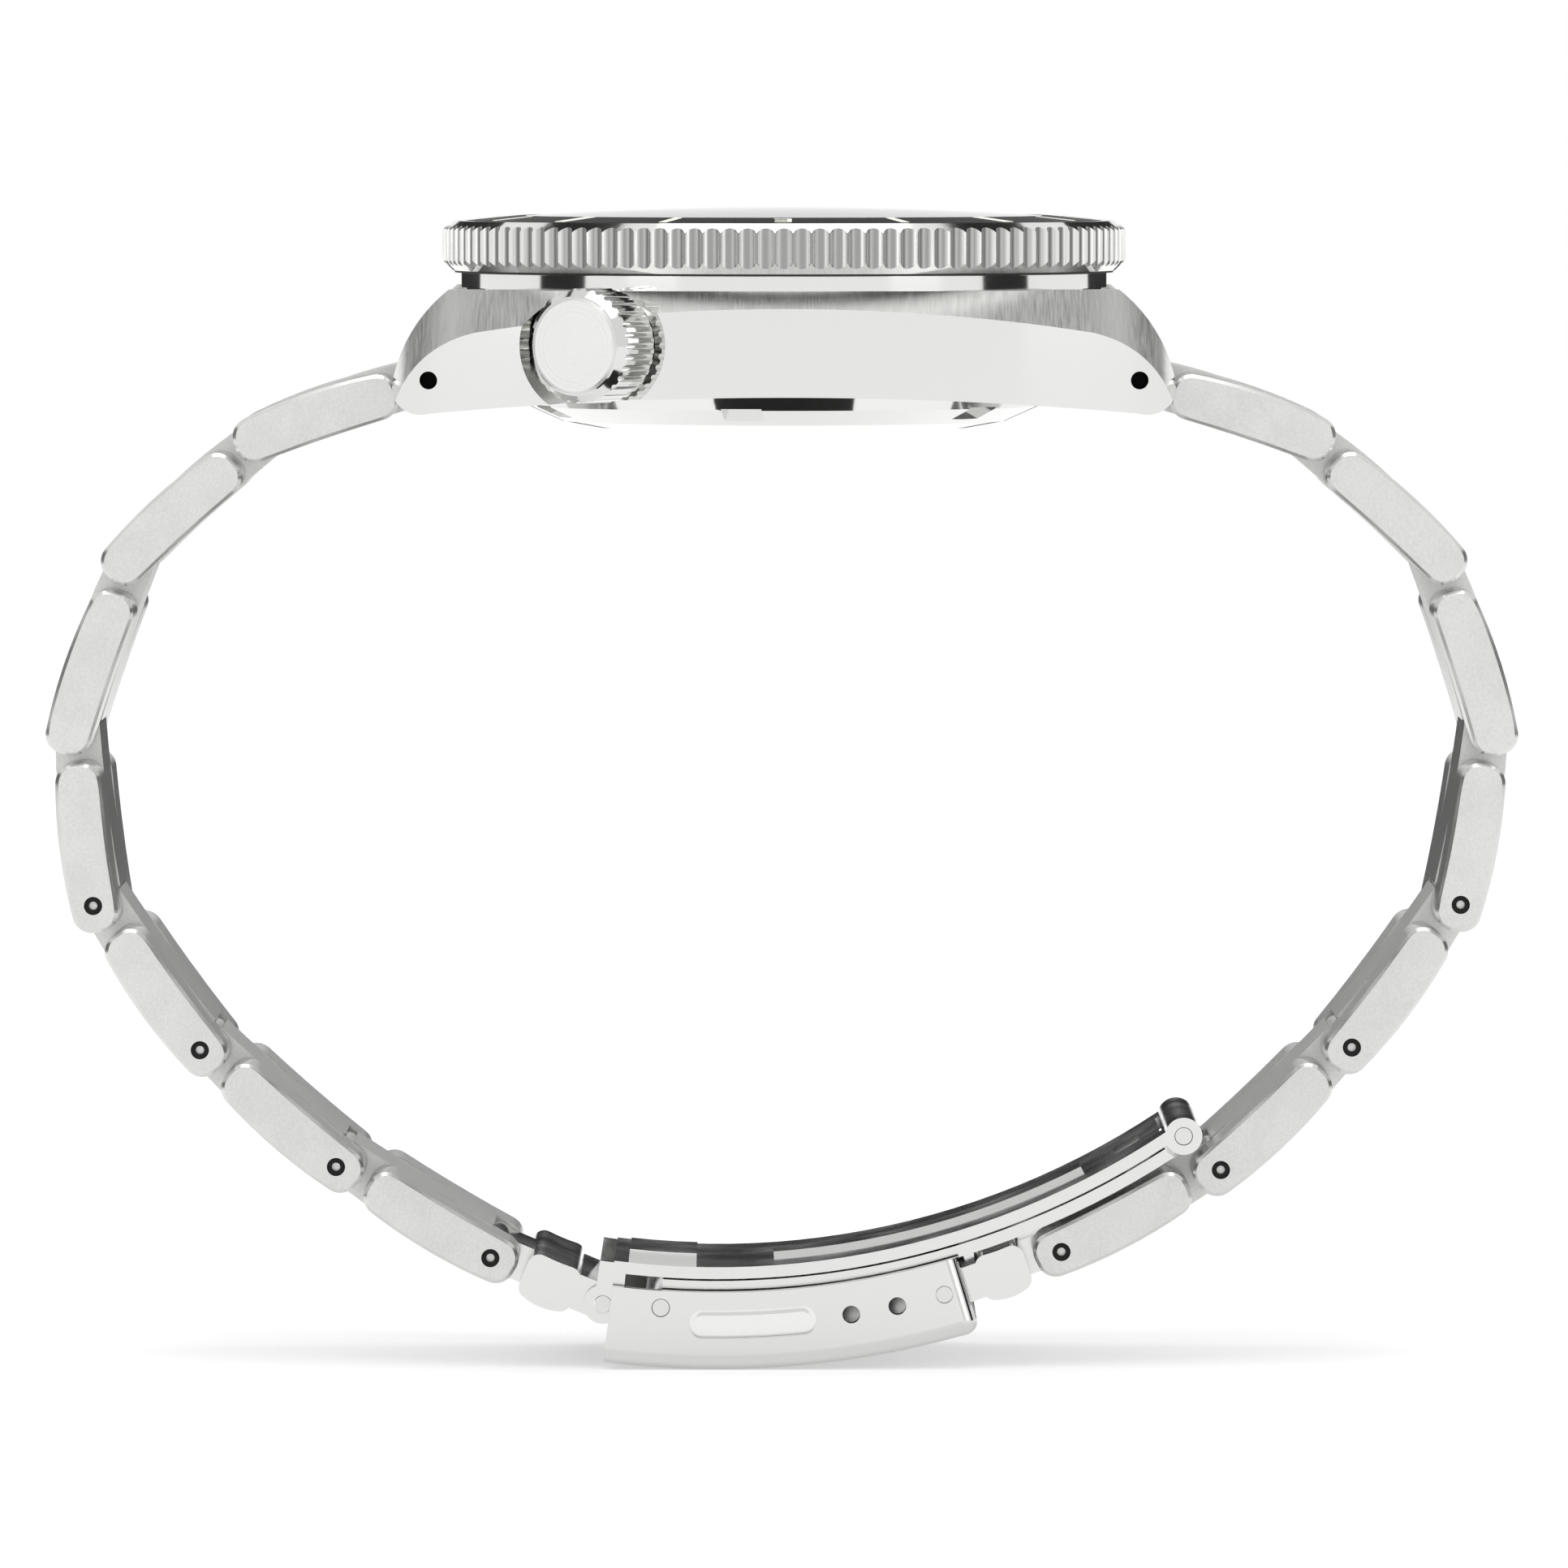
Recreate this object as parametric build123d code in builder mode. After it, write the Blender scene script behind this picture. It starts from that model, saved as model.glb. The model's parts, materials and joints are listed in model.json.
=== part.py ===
"""Dive watch on a steel bracelet with a folding clasp, closed as it stands off the wrist.

The origin is the centre of the case back's glass. +Z comes out through the dial, +Y points to 12 o'clock
and +X to 3 o'clock. Millimetres throughout.
"""

from build123d import *
from math import cos, degrees, hypot, radians, sin, sqrt
import os

os.makedirs("parts", exist_ok=True)

# ---- driving dimensions -----------------------------------------------------------------------------------

# case
case_half_width = 21.0  # centre to flank, at the crown's height
lug_tip_y = 23.05  # centre to the end of a lug
lug_tip_half_width = 14.5
lug_width = 22.0  # gap between a pair of lugs
shoulder_slope = 0.565  # fall of the brushed upper face, per millimetre outwards
case_crown_z = 13.0  # the upper face's height over the lug's inner line, at the middle
case_top_z = 8.35
case_bottom_z = 2.2
case_end_radius = 18.9  # wall between the lugs
neck_flange_radius = 19.2
neck_flange_top_z = 9.2
neck_wall = 1.0  # round the crystal's bore
neck_top_z = 11.5

# inside of the case
back_bore_radius = 14.65
movement_bore_radius = 14.3
dial_bore_radius = 15.05
dial_seat_z = 7.6
crystal_seat_z = 10.6

# glasses
crystal_radius = 15.6
crystal_gasket_wall = 0.5  # between the crystal's edge and its bore
crystal_edge_z = 12.6
crystal_top_z = 13.1
back_glass_radius = 10.6
back_glass_thickness = 1.5
gasket_squeeze_gap = 0.02
crystal_bore_radius = crystal_radius + crystal_gasket_wall
neck_radius = crystal_bore_radius + neck_wall

# bezel
bezel_radius = 20.35
bezel_bottom_z = 9.35
bezel_top_z = 12.3
bezel_teeth = 120
bezel_tooth_depth = 0.34
bezel_clearance = 0.08
insert_inner_radius = 15.8
insert_outer_radius = 18.9
insert_thickness = 0.5
insert_fall = 0.52  # drop from the insert's inner edge to its outer edge

# crown
crown_angle = -30.0  # 4 o'clock
crown_z = 5.2
crown_radius = 3.35
crown_face_radius = 2.9
crown_inner_reach = 20.6  # distance from the watch's centre to the crown's inner end
crown_length = 3.8
crown_pocket_gap = 0.9
tube_radius = 1.45
stem_radius = 0.75
crown_flutes = 32

# spring bars and lug pivots
spring_bar_radius = 0.75
spring_bar_tip_radius = 0.47
lug_hole_radius = 0.525
lug_pivot_y = 20.8
lug_pivot_z = 3.1

# bracelet
rows = 7
pitch = 10.6
link_out = 1.55  # outer face above the pivot line
link_in = 1.45  # inner face below the pivot line
link_crown = 0.4  # bulge of the outer face
link_hollow = 0.12  # hollow of the inner face
link_start = 2.15  # an outer link starts this far past its row's pivot
link_past = 1.6  # and runs this far past the next pivot
link_corner = 1.15
row_width_at_lug = 21.8
row_width_at_clasp = 18.0
centre_share = 0.42
side_gap = 0.08  # between a centre link and the outer links beside it
knuckle_radius = 1.25
knuckle_relief = 0.35
pin_radius = 0.5
pin_clearance = 0.04
removable_rows = (4, 5, 6, 7)  # rows with open pin holes
edge_break = 0.2  # polished bevel round the sides of the links

# resting curve of the bracelet: turn of each row from the one before, in degrees
turns_12h = (18.5, 24.0, 30.0, 28.0, 26.6, 9.6, 15.9, 7.9)
turns_6h = (19.2, 23.9, 29.0, 26.1, 28.0, 11.8, 9.0, 6.9)

# folding clasp, laid out on arcs about one centre
clasp_end_12h_length = 7.35
clasp_end_6h_length = 7.2
clasp_pivot_radius = 51.2
clasp_pivot_angle = 15.2
cover_outer_radius = 53.9
cover_floor = 1.0
cover_wall_top_radius = 49.3
cover_start_angle = -7.2
cover_end_angle = 16.8
cover_width = 20.0
cover_wall = 1.1
hinge_radius = 50.3
hinge_angle = -3.8
ear_radius = 50.56
ear_angle = -7.7
fold_radius = 48.7
fold_angle = 34.5
fold_barrel = 1.1
blade_thickness = 0.7
inner_blade_radius = 48.75
outer_blade_radius = 47.9
inner_blade_width = 16.4
outer_blade_width = 17.2
spare_hole_angles = (8.9, 12.0)
button_angle = 2.35
button_radius = 51.2
button_length = 6.9
button_height = 1.1
button_slot_gap = 0.3
button_travel = 0.7
ear_thickness = 0.85
end_gap = 0.1  # between an end piece and the ears or walls beside it
saddle_gap = 0.6  # the 6 o'clock end piece stops this far short of the ear pin's axis
saddle_clearance = 0.3  # round the ear pin

# movement
movement_radius = 13.5
plate_bottom_z = 5.6
plate_top_z = 7.0
bridge_bottom_z = 3.5
bridge_top_z = 4.2
rotor_radius = 13.0
rotor_bottom_z = 2.45
rotor_top_z = 3.3
barrel_radius = 5.4
balance_radius = 3.8
date_outer_radius = 13.0
dial_thickness = 0.4
hand_clearance = 0.05

# ---- where the bracelet lies ------------------------------------------------------------------------------


def chain(side, turns, last_length):
    """Pivots (y, z) of one side from the lug to the clasp, and each row's angle below level."""
    y, z = side * lug_pivot_y, lug_pivot_z
    points, angles, angle = [(y, z)], [], 0.0
    for row, turn in enumerate(turns):
        angle += turn
        length = pitch if row < rows else last_length
        y += side * length * cos(radians(angle))
        z -= length * sin(radians(angle))
        points.append((y, z))
        angles.append(angle)
    return points, angles


points_12h, angles_12h = chain(1, turns_12h, clasp_end_12h_length)
clasp_y = points_12h[-1][0] - clasp_pivot_radius * sin(radians(clasp_pivot_angle))
clasp_z = points_12h[-1][1] + clasp_pivot_radius * cos(radians(clasp_pivot_angle))


def on_clasp(radius, angle):
    """Point (y, z) of the clasp at a radius from its centre and an angle from straight down."""
    return (clasp_y + radius * sin(radians(angle)), clasp_z - radius * cos(radians(angle)))


def meeting_turns(turns, target):
    """The 6 o'clock side's turns, eased near the lug and near the clasp until its end meets the target."""

    def miss(near_lug, near_clasp):
        eased = [t + near_lug if i < 3 else t for i, t in enumerate(turns)]
        eased = [t + near_clasp if i >= 4 else t for i, t in enumerate(eased)]
        end = chain(-1, eased, clasp_end_6h_length)[0][-1]
        return end[0] - target[0], end[1] - target[1], eased

    a, b, step = 0.0, 0.0, 0.001
    for _ in range(12):
        y, z, eased = miss(a, b)
        ya, za, _ = miss(a + step, b)
        yb, zb, _ = miss(a, b + step)
        m11, m12 = (ya - y) / step, (yb - y) / step
        m21, m22 = (za - z) / step, (zb - z) / step
        det = m11 * m22 - m12 * m21
        a -= (m22 * y - m12 * z) / det
        b -= (m11 * z - m21 * y) / det
    return miss(a, b)[2]


ear_point = on_clasp(ear_radius, ear_angle)
points_6h, angles_6h = chain(-1, meeting_turns(turns_6h, ear_point), clasp_end_6h_length)


def row_planes(side, point, angle):
    """A row's side plane (x along the row, y outwards) and its top plane (x along the row, z outwards)."""
    along = (0, side * cos(radians(angle)), -sin(radians(angle)))
    outward = (0, side * sin(radians(angle)), cos(radians(angle)))
    origin = (0, point[0], point[1])
    return Plane(origin, x_dir=along, z_dir=(side, 0, 0)), Plane(origin, x_dir=along, z_dir=outward)


def row_width(distance):
    """Width of the bracelet at a distance from the lug pivot along the rows."""
    share = distance / (rows * pitch + link_past)
    return row_width_at_lug + (row_width_at_clasp - row_width_at_lug) * share


def centre_width(row):
    return centre_share * row_width(row * pitch)


def ring_profile(*corners):
    """A closed outline of (radius, z) corners, ready to be turned about Z."""
    with BuildLine() as outline:
        Polyline(*corners, close=True)
    make_face(outline.edges())


def arc_strip(inner, outer, start, stop):
    """A closed outline on the clasp between two radii and two angles."""
    middle = (start + stop) / 2
    with BuildLine() as outline:
        ThreePointArc(on_clasp(inner, start), on_clasp(inner, middle), on_clasp(inner, stop))
        Line(on_clasp(inner, stop), on_clasp(outer, stop))
        ThreePointArc(on_clasp(outer, stop), on_clasp(outer, middle), on_clasp(outer, start))
        Line(on_clasp(outer, start), on_clasp(inner, start))
    make_face(outline.edges())


# ---- case -------------------------------------------------------------------------------------------------

shoulder_rise = shoulder_slope * lug_width / 2  # the sloping faces, carried in to the middle
run = case_half_width + 4
slant_length = run * sqrt(1 + shoulder_slope**2)

with BuildPart() as case_middle:
    # upper faces, falling away to both flanks
    with BuildSketch(Plane.YZ):
        with BuildLine():
            lug_top = (18.0, case_crown_z - 3.6 + shoulder_rise)
            lug_top_6h = (-18.0, case_crown_z - 3.6 + shoulder_rise)
            tip = (lug_tip_y, 2.8 + shoulder_rise)
            tip_6h = (-lug_tip_y, 2.8 + shoulder_rise)
            ThreePointArc(lug_top_6h, (0, case_crown_z + shoulder_rise), lug_top)
            ThreePointArc(lug_top, (lug_tip_y - 1.5, 6.4 + shoulder_rise), tip)
            Polyline(tip, (lug_tip_y, -5), (-lug_tip_y, -5), tip_6h)
            ThreePointArc(tip_6h, (-lug_tip_y + 1.5, 6.4 + shoulder_rise), lug_top_6h)
        make_face()
    extrude(amount=slant_length, dir=(1, 0, -shoulder_slope))
    mirror(about=Plane.YZ)
    # plan outline, with bowed flanks
    with BuildSketch(Plane.XY.offset(-10)):
        with BuildLine():
            corner = (lug_tip_half_width, lug_tip_y)
            corner_6h = (lug_tip_half_width, -lug_tip_y)
            ThreePointArc(corner_6h, (case_half_width, 0), corner)
            Line(corner, (-corner[0], corner[1]))
            ThreePointArc((-corner[0], corner[1]), (-case_half_width, 0), (-corner[0], -corner[1]))
            Line((-corner[0], -corner[1]), corner_6h)
        make_face()
    extrude(amount=10 + case_top_z, mode=Mode.INTERSECT)
    # underside, hollowed along the arm and rounded up into the lug tips
    with BuildSketch(Plane.YZ):
        with BuildLine():
            ThreePointArc((-20.8, 1.15), (0, case_bottom_z), (20.8, 1.15))
            ThreePointArc((20.8, 1.15), (lug_tip_y - 0.5, 1.6), (lug_tip_y, 3.0))
            Polyline((lug_tip_y, 3.0), (lug_tip_y, 20), (-lug_tip_y, 20), (-lug_tip_y, 3.0))
            ThreePointArc((-lug_tip_y, 3.0), (-lug_tip_y + 0.5, 1.6), (-20.8, 1.15))
        make_face()
    extrude(amount=run, both=True, mode=Mode.INTERSECT)
    # neck under the bezel
    with BuildSketch(Plane.XY.offset(case_bottom_z + 2)):
        Circle(neck_flange_radius)
    extrude(amount=neck_flange_top_z - case_bottom_z - 2)
    with BuildSketch(Plane.XY.offset(neck_flange_top_z)):
        Circle(neck_radius)
    extrude(amount=neck_top_z - neck_flange_top_z)
    # gaps between the lugs
    with BuildSketch(Plane.XY):
        Rectangle(lug_width, 4 * lug_tip_y)
        Circle(case_end_radius, mode=Mode.SUBTRACT)
    extrude(amount=case_top_z, mode=Mode.SUBTRACT)
    # bores from the back to the crystal, with the gasket groove and the case back's seat
    with BuildSketch(Plane.XZ):
        ring_profile(
            (0, -1),
            (15.7, -1),
            (15.7, case_bottom_z),
            (15.25, case_bottom_z),
            (15.25, case_bottom_z + 0.55),
            (back_bore_radius, case_bottom_z + 0.55),
            (back_bore_radius, 3.7),
            (movement_bore_radius, 3.7),
            (movement_bore_radius, dial_seat_z),
            (dial_bore_radius, dial_seat_z),
            (dial_bore_radius, crystal_seat_z),
            (crystal_bore_radius, crystal_seat_z),
            (crystal_bore_radius, neck_top_z + 1),
            (0, neck_top_z + 1),
        )
    revolve(axis=Axis.Z, mode=Mode.SUBTRACT)
    # crown pocket and tube bore
    crown_axis = Plane((0, 0, crown_z), z_dir=(cos(radians(crown_angle)), sin(radians(crown_angle)), 0))
    with BuildSketch(crown_axis.offset(crown_inner_reach - 0.15)):
        Circle(crown_radius + crown_pocket_gap)
    extrude(amount=8, mode=Mode.SUBTRACT)
    with BuildSketch(crown_axis.offset(movement_bore_radius - 1)):
        Circle(tube_radius + gasket_squeeze_gap)
    extrude(amount=8, mode=Mode.SUBTRACT)
    # spring bar holes through the lugs
    with BuildSketch(Plane.YZ):
        with Locations((lug_pivot_y, lug_pivot_z), (-lug_pivot_y, lug_pivot_z)):
            Circle(lug_hole_radius)
    extrude(amount=case_half_width, both=True, mode=Mode.SUBTRACT)
case_middle.part.label = "case_middle"
export_step(case_middle.part, "parts/case_middle.step")

# screwed case back: a bevelled ring with six wrench notches
with BuildPart() as case_back_ring:
    with BuildSketch(Plane.XZ):
        ring_profile(
            (15.6, case_bottom_z),
            (15.2, 1.3),
            (13.2, 0.4),
            (11.0, 0),
            (back_glass_radius + gasket_squeeze_gap, 0),
            (back_glass_radius + gasket_squeeze_gap, back_glass_thickness),
            (back_glass_radius - 0.8, back_glass_thickness),
            (back_glass_radius - 0.8, 2.1),
            (13.6, 2.1),
            (13.6, 3.6),
            (back_bore_radius - 0.05, 3.6),
            (back_bore_radius - 0.05, case_bottom_z),
        )
    revolve(axis=Axis.Z)
    with BuildSketch(Plane.XY.offset(0.3)):
        with PolarLocations(15.0, 6, start_angle=-9.5):
            Rectangle(2.4, 2.4)
    extrude(amount=1.1, mode=Mode.SUBTRACT)
case_back_ring.part.label = "case_back_ring"
export_step(case_back_ring.part, "parts/case_back_ring.step")

with BuildPart() as case_back_glass:
    with BuildSketch():
        Circle(back_glass_radius)
    extrude(amount=back_glass_thickness)
    chamfer(case_back_glass.edges().group_by(Axis.Z)[0], 0.15)
case_back_glass.part.label = "case_back_glass"
export_step(case_back_glass.part, "parts/case_back_glass.step")

with BuildPart() as case_back_gasket:
    with BuildSketch(Plane.XY.offset(case_bottom_z)):
        Circle(15.2)
        Circle(back_bore_radius + 0.05, mode=Mode.SUBTRACT)
    extrude(amount=0.5)
case_back_gasket.part.label = "case_back_gasket"
export_step(case_back_gasket.part, "parts/case_back_gasket.step")

# ---- crystal, bezel ---------------------------------------------------------------------------------------

with BuildPart() as crystal:
    with BuildSketch(Plane.XZ):
        with BuildLine():
            rim = crystal_radius - 0.25
            Line((0, crystal_seat_z), (crystal_radius, crystal_seat_z))
            Line((crystal_radius, crystal_seat_z), (crystal_radius, crystal_edge_z - 0.2))
            Line((crystal_radius, crystal_edge_z - 0.2), (rim, crystal_edge_z))
            dome = crystal_top_z - crystal_edge_z
            dome_radius = (rim**2 + dome**2) / (2 * dome)
            half_way_z = crystal_top_z - dome_radius + sqrt(dome_radius**2 - rim**2 / 4)
            ThreePointArc((rim, crystal_edge_z), (rim / 2, half_way_z), (0, crystal_top_z))
            Line((0, crystal_top_z), (0, crystal_seat_z))
        make_face()
    revolve(axis=Axis.Z)
crystal.part.label = "crystal"
export_step(crystal.part, "parts/crystal.step")

with BuildPart() as crystal_gasket:
    with BuildSketch(Plane.XY.offset(crystal_seat_z)):
        Circle(crystal_bore_radius - gasket_squeeze_gap)
        Circle(crystal_radius + gasket_squeeze_gap, mode=Mode.SUBTRACT)
    extrude(amount=neck_top_z - 0.05 - crystal_seat_z)
crystal_gasket.part.label = "crystal_gasket"
export_step(crystal_gasket.part, "parts/crystal_gasket.step")

insert_top_z = bezel_top_z + 0.15
insert_low_z = insert_top_z - insert_fall
seat_gap = 0.03
tooth_pitch = 2 * bezel_radius * sin(radians(180 / bezel_teeth))
tooth_radius = (bezel_tooth_depth**2 + (tooth_pitch / 2) ** 2) / (2 * bezel_tooth_depth)

with BuildPart() as bezel_ring:
    with BuildSketch(Plane.XY.offset(bezel_bottom_z)):
        Circle(bezel_radius)
        with PolarLocations(bezel_radius + tooth_radius - bezel_tooth_depth, bezel_teeth):
            Circle(tooth_radius, mode=Mode.SUBTRACT)
    extrude(amount=bezel_top_z - bezel_bottom_z)
    with BuildSketch(Plane.XZ):
        ring_profile(
            (neck_radius + bezel_clearance, bezel_bottom_z),
            (bezel_radius - 0.65, bezel_bottom_z),
            (bezel_radius, bezel_bottom_z + 0.65),
            (bezel_radius, bezel_top_z - 0.55),
            (bezel_radius - 0.65, bezel_top_z),
            (insert_outer_radius + seat_gap, bezel_top_z),
            (insert_outer_radius + seat_gap, insert_low_z - insert_thickness - seat_gap),
            (insert_inner_radius, insert_top_z - insert_thickness - seat_gap),
            (insert_inner_radius, neck_top_z + 0.1),
            (neck_radius + bezel_clearance, neck_top_z + 0.1),
        )
    revolve(axis=Axis.Z, mode=Mode.INTERSECT)
bezel_ring.part.label = "bezel_ring"
export_step(bezel_ring.part, "parts/bezel_ring.step")

with BuildPart() as bezel_insert:
    with BuildSketch(Plane.XZ):
        ring_profile(
            (insert_inner_radius, insert_top_z - 0.06),
            (insert_inner_radius + 0.06, insert_top_z),
            (insert_outer_radius, insert_low_z),
            (insert_outer_radius, insert_low_z - insert_thickness),
            (insert_inner_radius, insert_top_z - insert_thickness),
        )
    revolve(axis=Axis.Z)
bezel_insert.part.label = "bezel_insert"
export_step(bezel_insert.part, "parts/bezel_insert.step")

with BuildPart() as bezel_click_spring:
    with BuildSketch(Plane.XY.offset(neck_flange_top_z)):
        Circle(neck_flange_radius - 0.5)
        Circle(neck_radius + 0.1, mode=Mode.SUBTRACT)
        with PolarLocations(neck_flange_radius - 0.9, 3):
            SlotOverall(2.4, 0.5, rotation=90, mode=Mode.SUBTRACT)
    extrude(amount=0.1)
bezel_click_spring.part.label = "bezel_click_spring"
export_step(bezel_click_spring.part, "parts/bezel_click_spring.step")

# ---- dial side --------------------------------------------------------------------------------------------

dial_top_z = dial_seat_z + dial_thickness
arbor_bore = 0.95
date_window_radius = 11.2

with BuildPart() as dial:
    with BuildSketch(Plane.XY.offset(dial_seat_z)):
        Circle(dial_bore_radius - 0.05)
        Circle(arbor_bore, mode=Mode.SUBTRACT)
        with Locations((date_window_radius, 0)):
            RectangleRounded(2.6, 1.9, 0.2, mode=Mode.SUBTRACT)
    extrude(amount=dial_thickness)
dial.part.label = "dial"
export_step(dial.part, "parts/dial.step")

with BuildPart() as chapter_ring:
    with BuildSketch(Plane.XZ):
        ring_profile(
            (13.6, dial_top_z),
            (dial_bore_radius - 0.05, dial_top_z),
            (dial_bore_radius - 0.05, crystal_seat_z - 0.05),
            (14.7, crystal_seat_z - 0.05),
            (13.6, dial_top_z + 0.3),
        )
    revolve(axis=Axis.Z)
chapter_ring.part.label = "chapter_ring"
export_step(chapter_ring.part, "parts/chapter_ring.step")

# applied markers: a triangle at 12, bars at 6 and 9, discs elsewhere, none over the date window
with BuildPart() as hour_markers:
    with BuildSketch(Plane.XY.offset(dial_top_z)):
        with Locations((0, 11.3)):
            RegularPolygon(1.35, 3, rotation=-90)
        with Locations((0, -11.3)):
            Rectangle(1.1, 2.6)
        with Locations((-11.3, 0)):
            Rectangle(2.6, 1.1)
        for hour in (1, 2, 4, 5, 7, 8, 10, 11):
            angle = radians(90 - 30 * hour)
            with Locations((11.5 * cos(angle), 11.5 * sin(angle))):
                Circle(0.85)
    extrude(amount=0.3)
    chamfer(hour_markers.faces().filter_by(Axis.Z).sort_by(Axis.Z)[-11:].edges(), 0.08)
hour_markers.part.label = "hour_markers"
export_step(hour_markers.part, "parts/hour_markers.step")

hour_pipe = 0.82
minute_pipe = 0.5
second_pipe = 0.25

with BuildPart() as hour_hand:
    with BuildSketch(Plane.XY.offset(dial_top_z + 0.4)):
        Circle(hour_pipe + 0.25)
        with BuildLine():
            arrow = ((-0.45, 4.6), (-1.25, 4.9), (0, 8.0), (1.25, 4.9), (0.45, 4.6))
            Polyline((-0.45, 0), *arrow, (0.45, 0), close=True)
        make_face()
    extrude(amount=0.2)
    with BuildSketch(Plane.XY.offset(plate_top_z + 0.05)):
        Circle(hour_pipe)
    extrude(amount=dial_top_z + 0.4 - plate_top_z)
    with BuildSketch(Plane.XY.offset(plate_top_z)):
        Circle(minute_pipe + hand_clearance)
    extrude(amount=5, mode=Mode.SUBTRACT)
hour_hand.part.label = "hour_hand"
export_step(hour_hand.part, "parts/hour_hand.step")

with BuildPart() as minute_hand:
    with BuildSketch(Plane.XY.offset(dial_top_z + 0.85)):
        Circle(minute_pipe + 0.4)
        with BuildLine():
            Polyline((-0.4, 0), (-0.75, 10.2), (0, 12.0), (0.75, 10.2), (0.4, 0), close=True)
        make_face()
    extrude(amount=0.2)
    with BuildSketch(Plane.XY.offset(plate_top_z + 0.05)):
        Circle(minute_pipe)
    extrude(amount=dial_top_z + 0.85 - plate_top_z)
    with BuildSketch(Plane.XY.offset(plate_top_z)):
        Circle(second_pipe + hand_clearance)
    extrude(amount=5, mode=Mode.SUBTRACT)
minute_hand.part.label = "minute_hand"
export_step(minute_hand.part, "parts/minute_hand.step")

with BuildPart() as second_hand:
    with BuildSketch(Plane.XY.offset(dial_top_z + 1.3)):
        Circle(0.65)
        with BuildLine():
            right_edge = ((0.08, 12.6), (0.12, 0), (0.35, -3.6))
            Polyline((-0.35, -3.6), (-0.12, 0), (-0.08, 12.6), *right_edge, close=True)
        make_face()
        with Locations((0, 9.2)):
            Circle(0.55)
    extrude(amount=0.15)
    with BuildSketch(Plane.XY.offset(plate_top_z + 0.05)):
        Circle(second_pipe)
    extrude(amount=dial_top_z + 1.3 - plate_top_z)
second_hand.part.label = "second_hand"
export_step(second_hand.part, "parts/second_hand.step")

with BuildPart() as date_disc:
    with BuildSketch(Plane.XY.offset(plate_top_z + 0.1)):
        Circle(date_outer_radius)
        Circle(date_outer_radius - 3.4, mode=Mode.SUBTRACT)
        with PolarLocations(date_outer_radius - 3.4, 31):
            Circle(0.45, mode=Mode.SUBTRACT)
    extrude(amount=0.25)
date_disc.part.label = "date_disc"
export_step(date_disc.part, "parts/date_disc.step")

# ---- movement ---------------------------------------------------------------------------------------------

barrel_place = (-6.2, 3.6)
balance_place = (-0.6, -7.1)
pillar_radius = 0.9
pillar_places = ((-8.5, -8.0), (10.8, 3.6), (-11.6, -2.6), (0.5, 11.2))
cock_pillar_reach = 12.2

with BuildPart() as movement_ring:
    with BuildSketch(Plane.XY.offset(3.75)):
        Circle(movement_bore_radius - 0.05)
        Circle(movement_radius + 0.05, mode=Mode.SUBTRACT)
    extrude(amount=dial_seat_z - 3.8)
    with BuildSketch(crown_axis.offset(movement_radius - 2)):
        Circle(tube_radius + 0.1)
    extrude(amount=4, mode=Mode.SUBTRACT)
movement_ring.part.label = "movement_ring"
export_step(movement_ring.part, "parts/movement_ring.step")

with BuildPart() as main_plate:
    with BuildSketch(Plane.XY.offset(plate_bottom_z)):
        Circle(movement_radius)
        Circle(arbor_bore, mode=Mode.SUBTRACT)
    extrude(amount=plate_top_z - plate_bottom_z)
    with BuildSketch(Plane.XY.offset(plate_bottom_z)):
        with Locations(barrel_place):
            Circle(barrel_radius + 0.3)
        with Locations(balance_place):
            Circle(balance_radius + 0.3)
    extrude(amount=0.5, mode=Mode.SUBTRACT)
    with BuildSketch(crown_axis.offset(6)):
        Circle(stem_radius + 0.3)
    extrude(amount=movement_radius, mode=Mode.SUBTRACT)
main_plate.part.label = "main_plate"
export_step(main_plate.part, "parts/main_plate.step")

with BuildPart() as movement_bridges:
    with BuildSketch(Plane.XY.offset(bridge_bottom_z)):
        Circle(movement_radius - 0.6)
        with Locations(balance_place):
            Circle(balance_radius + 0.9, mode=Mode.SUBTRACT)
        with Locations((1.7 * balance_place[0], 1.7 * balance_place[1])):
            Circle(balance_radius + 1.2, mode=Mode.SUBTRACT)
        with Locations((7.3, 6.9)):
            SlotOverall(5.2, 1.6, rotation=-45, mode=Mode.SUBTRACT)
    extrude(amount=bridge_top_z - bridge_bottom_z)
    chamfer(movement_bridges.faces().sort_by(Axis.Z)[0].edges(), 0.12)
    with BuildSketch(Plane.XY.offset(bridge_top_z)):
        with Locations(*pillar_places):
            Circle(pillar_radius)
    extrude(amount=plate_bottom_z - bridge_top_z)
movement_bridges.part.label = "movement_bridges"
export_step(movement_bridges.part, "parts/movement_bridges.step")

cock_foot = cock_pillar_reach / hypot(*balance_place)
with BuildPart() as balance_cock:
    with BuildSketch(Plane.XY.offset(bridge_bottom_z)):
        with Locations(balance_place):
            Circle(1.3)
        with Locations((balance_place[0] * cock_foot, balance_place[1] * cock_foot)):
            Circle(1.2)
        make_hull()
    extrude(amount=bridge_top_z - bridge_bottom_z)
    with BuildSketch(Plane.XY.offset(bridge_top_z)):
        with Locations((balance_place[0] * cock_foot, balance_place[1] * cock_foot)):
            Circle(pillar_radius - 0.1)
    extrude(amount=plate_bottom_z - bridge_top_z)
balance_cock.part.label = "balance_cock"
export_step(balance_cock.part, "parts/balance_cock.step")

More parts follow.
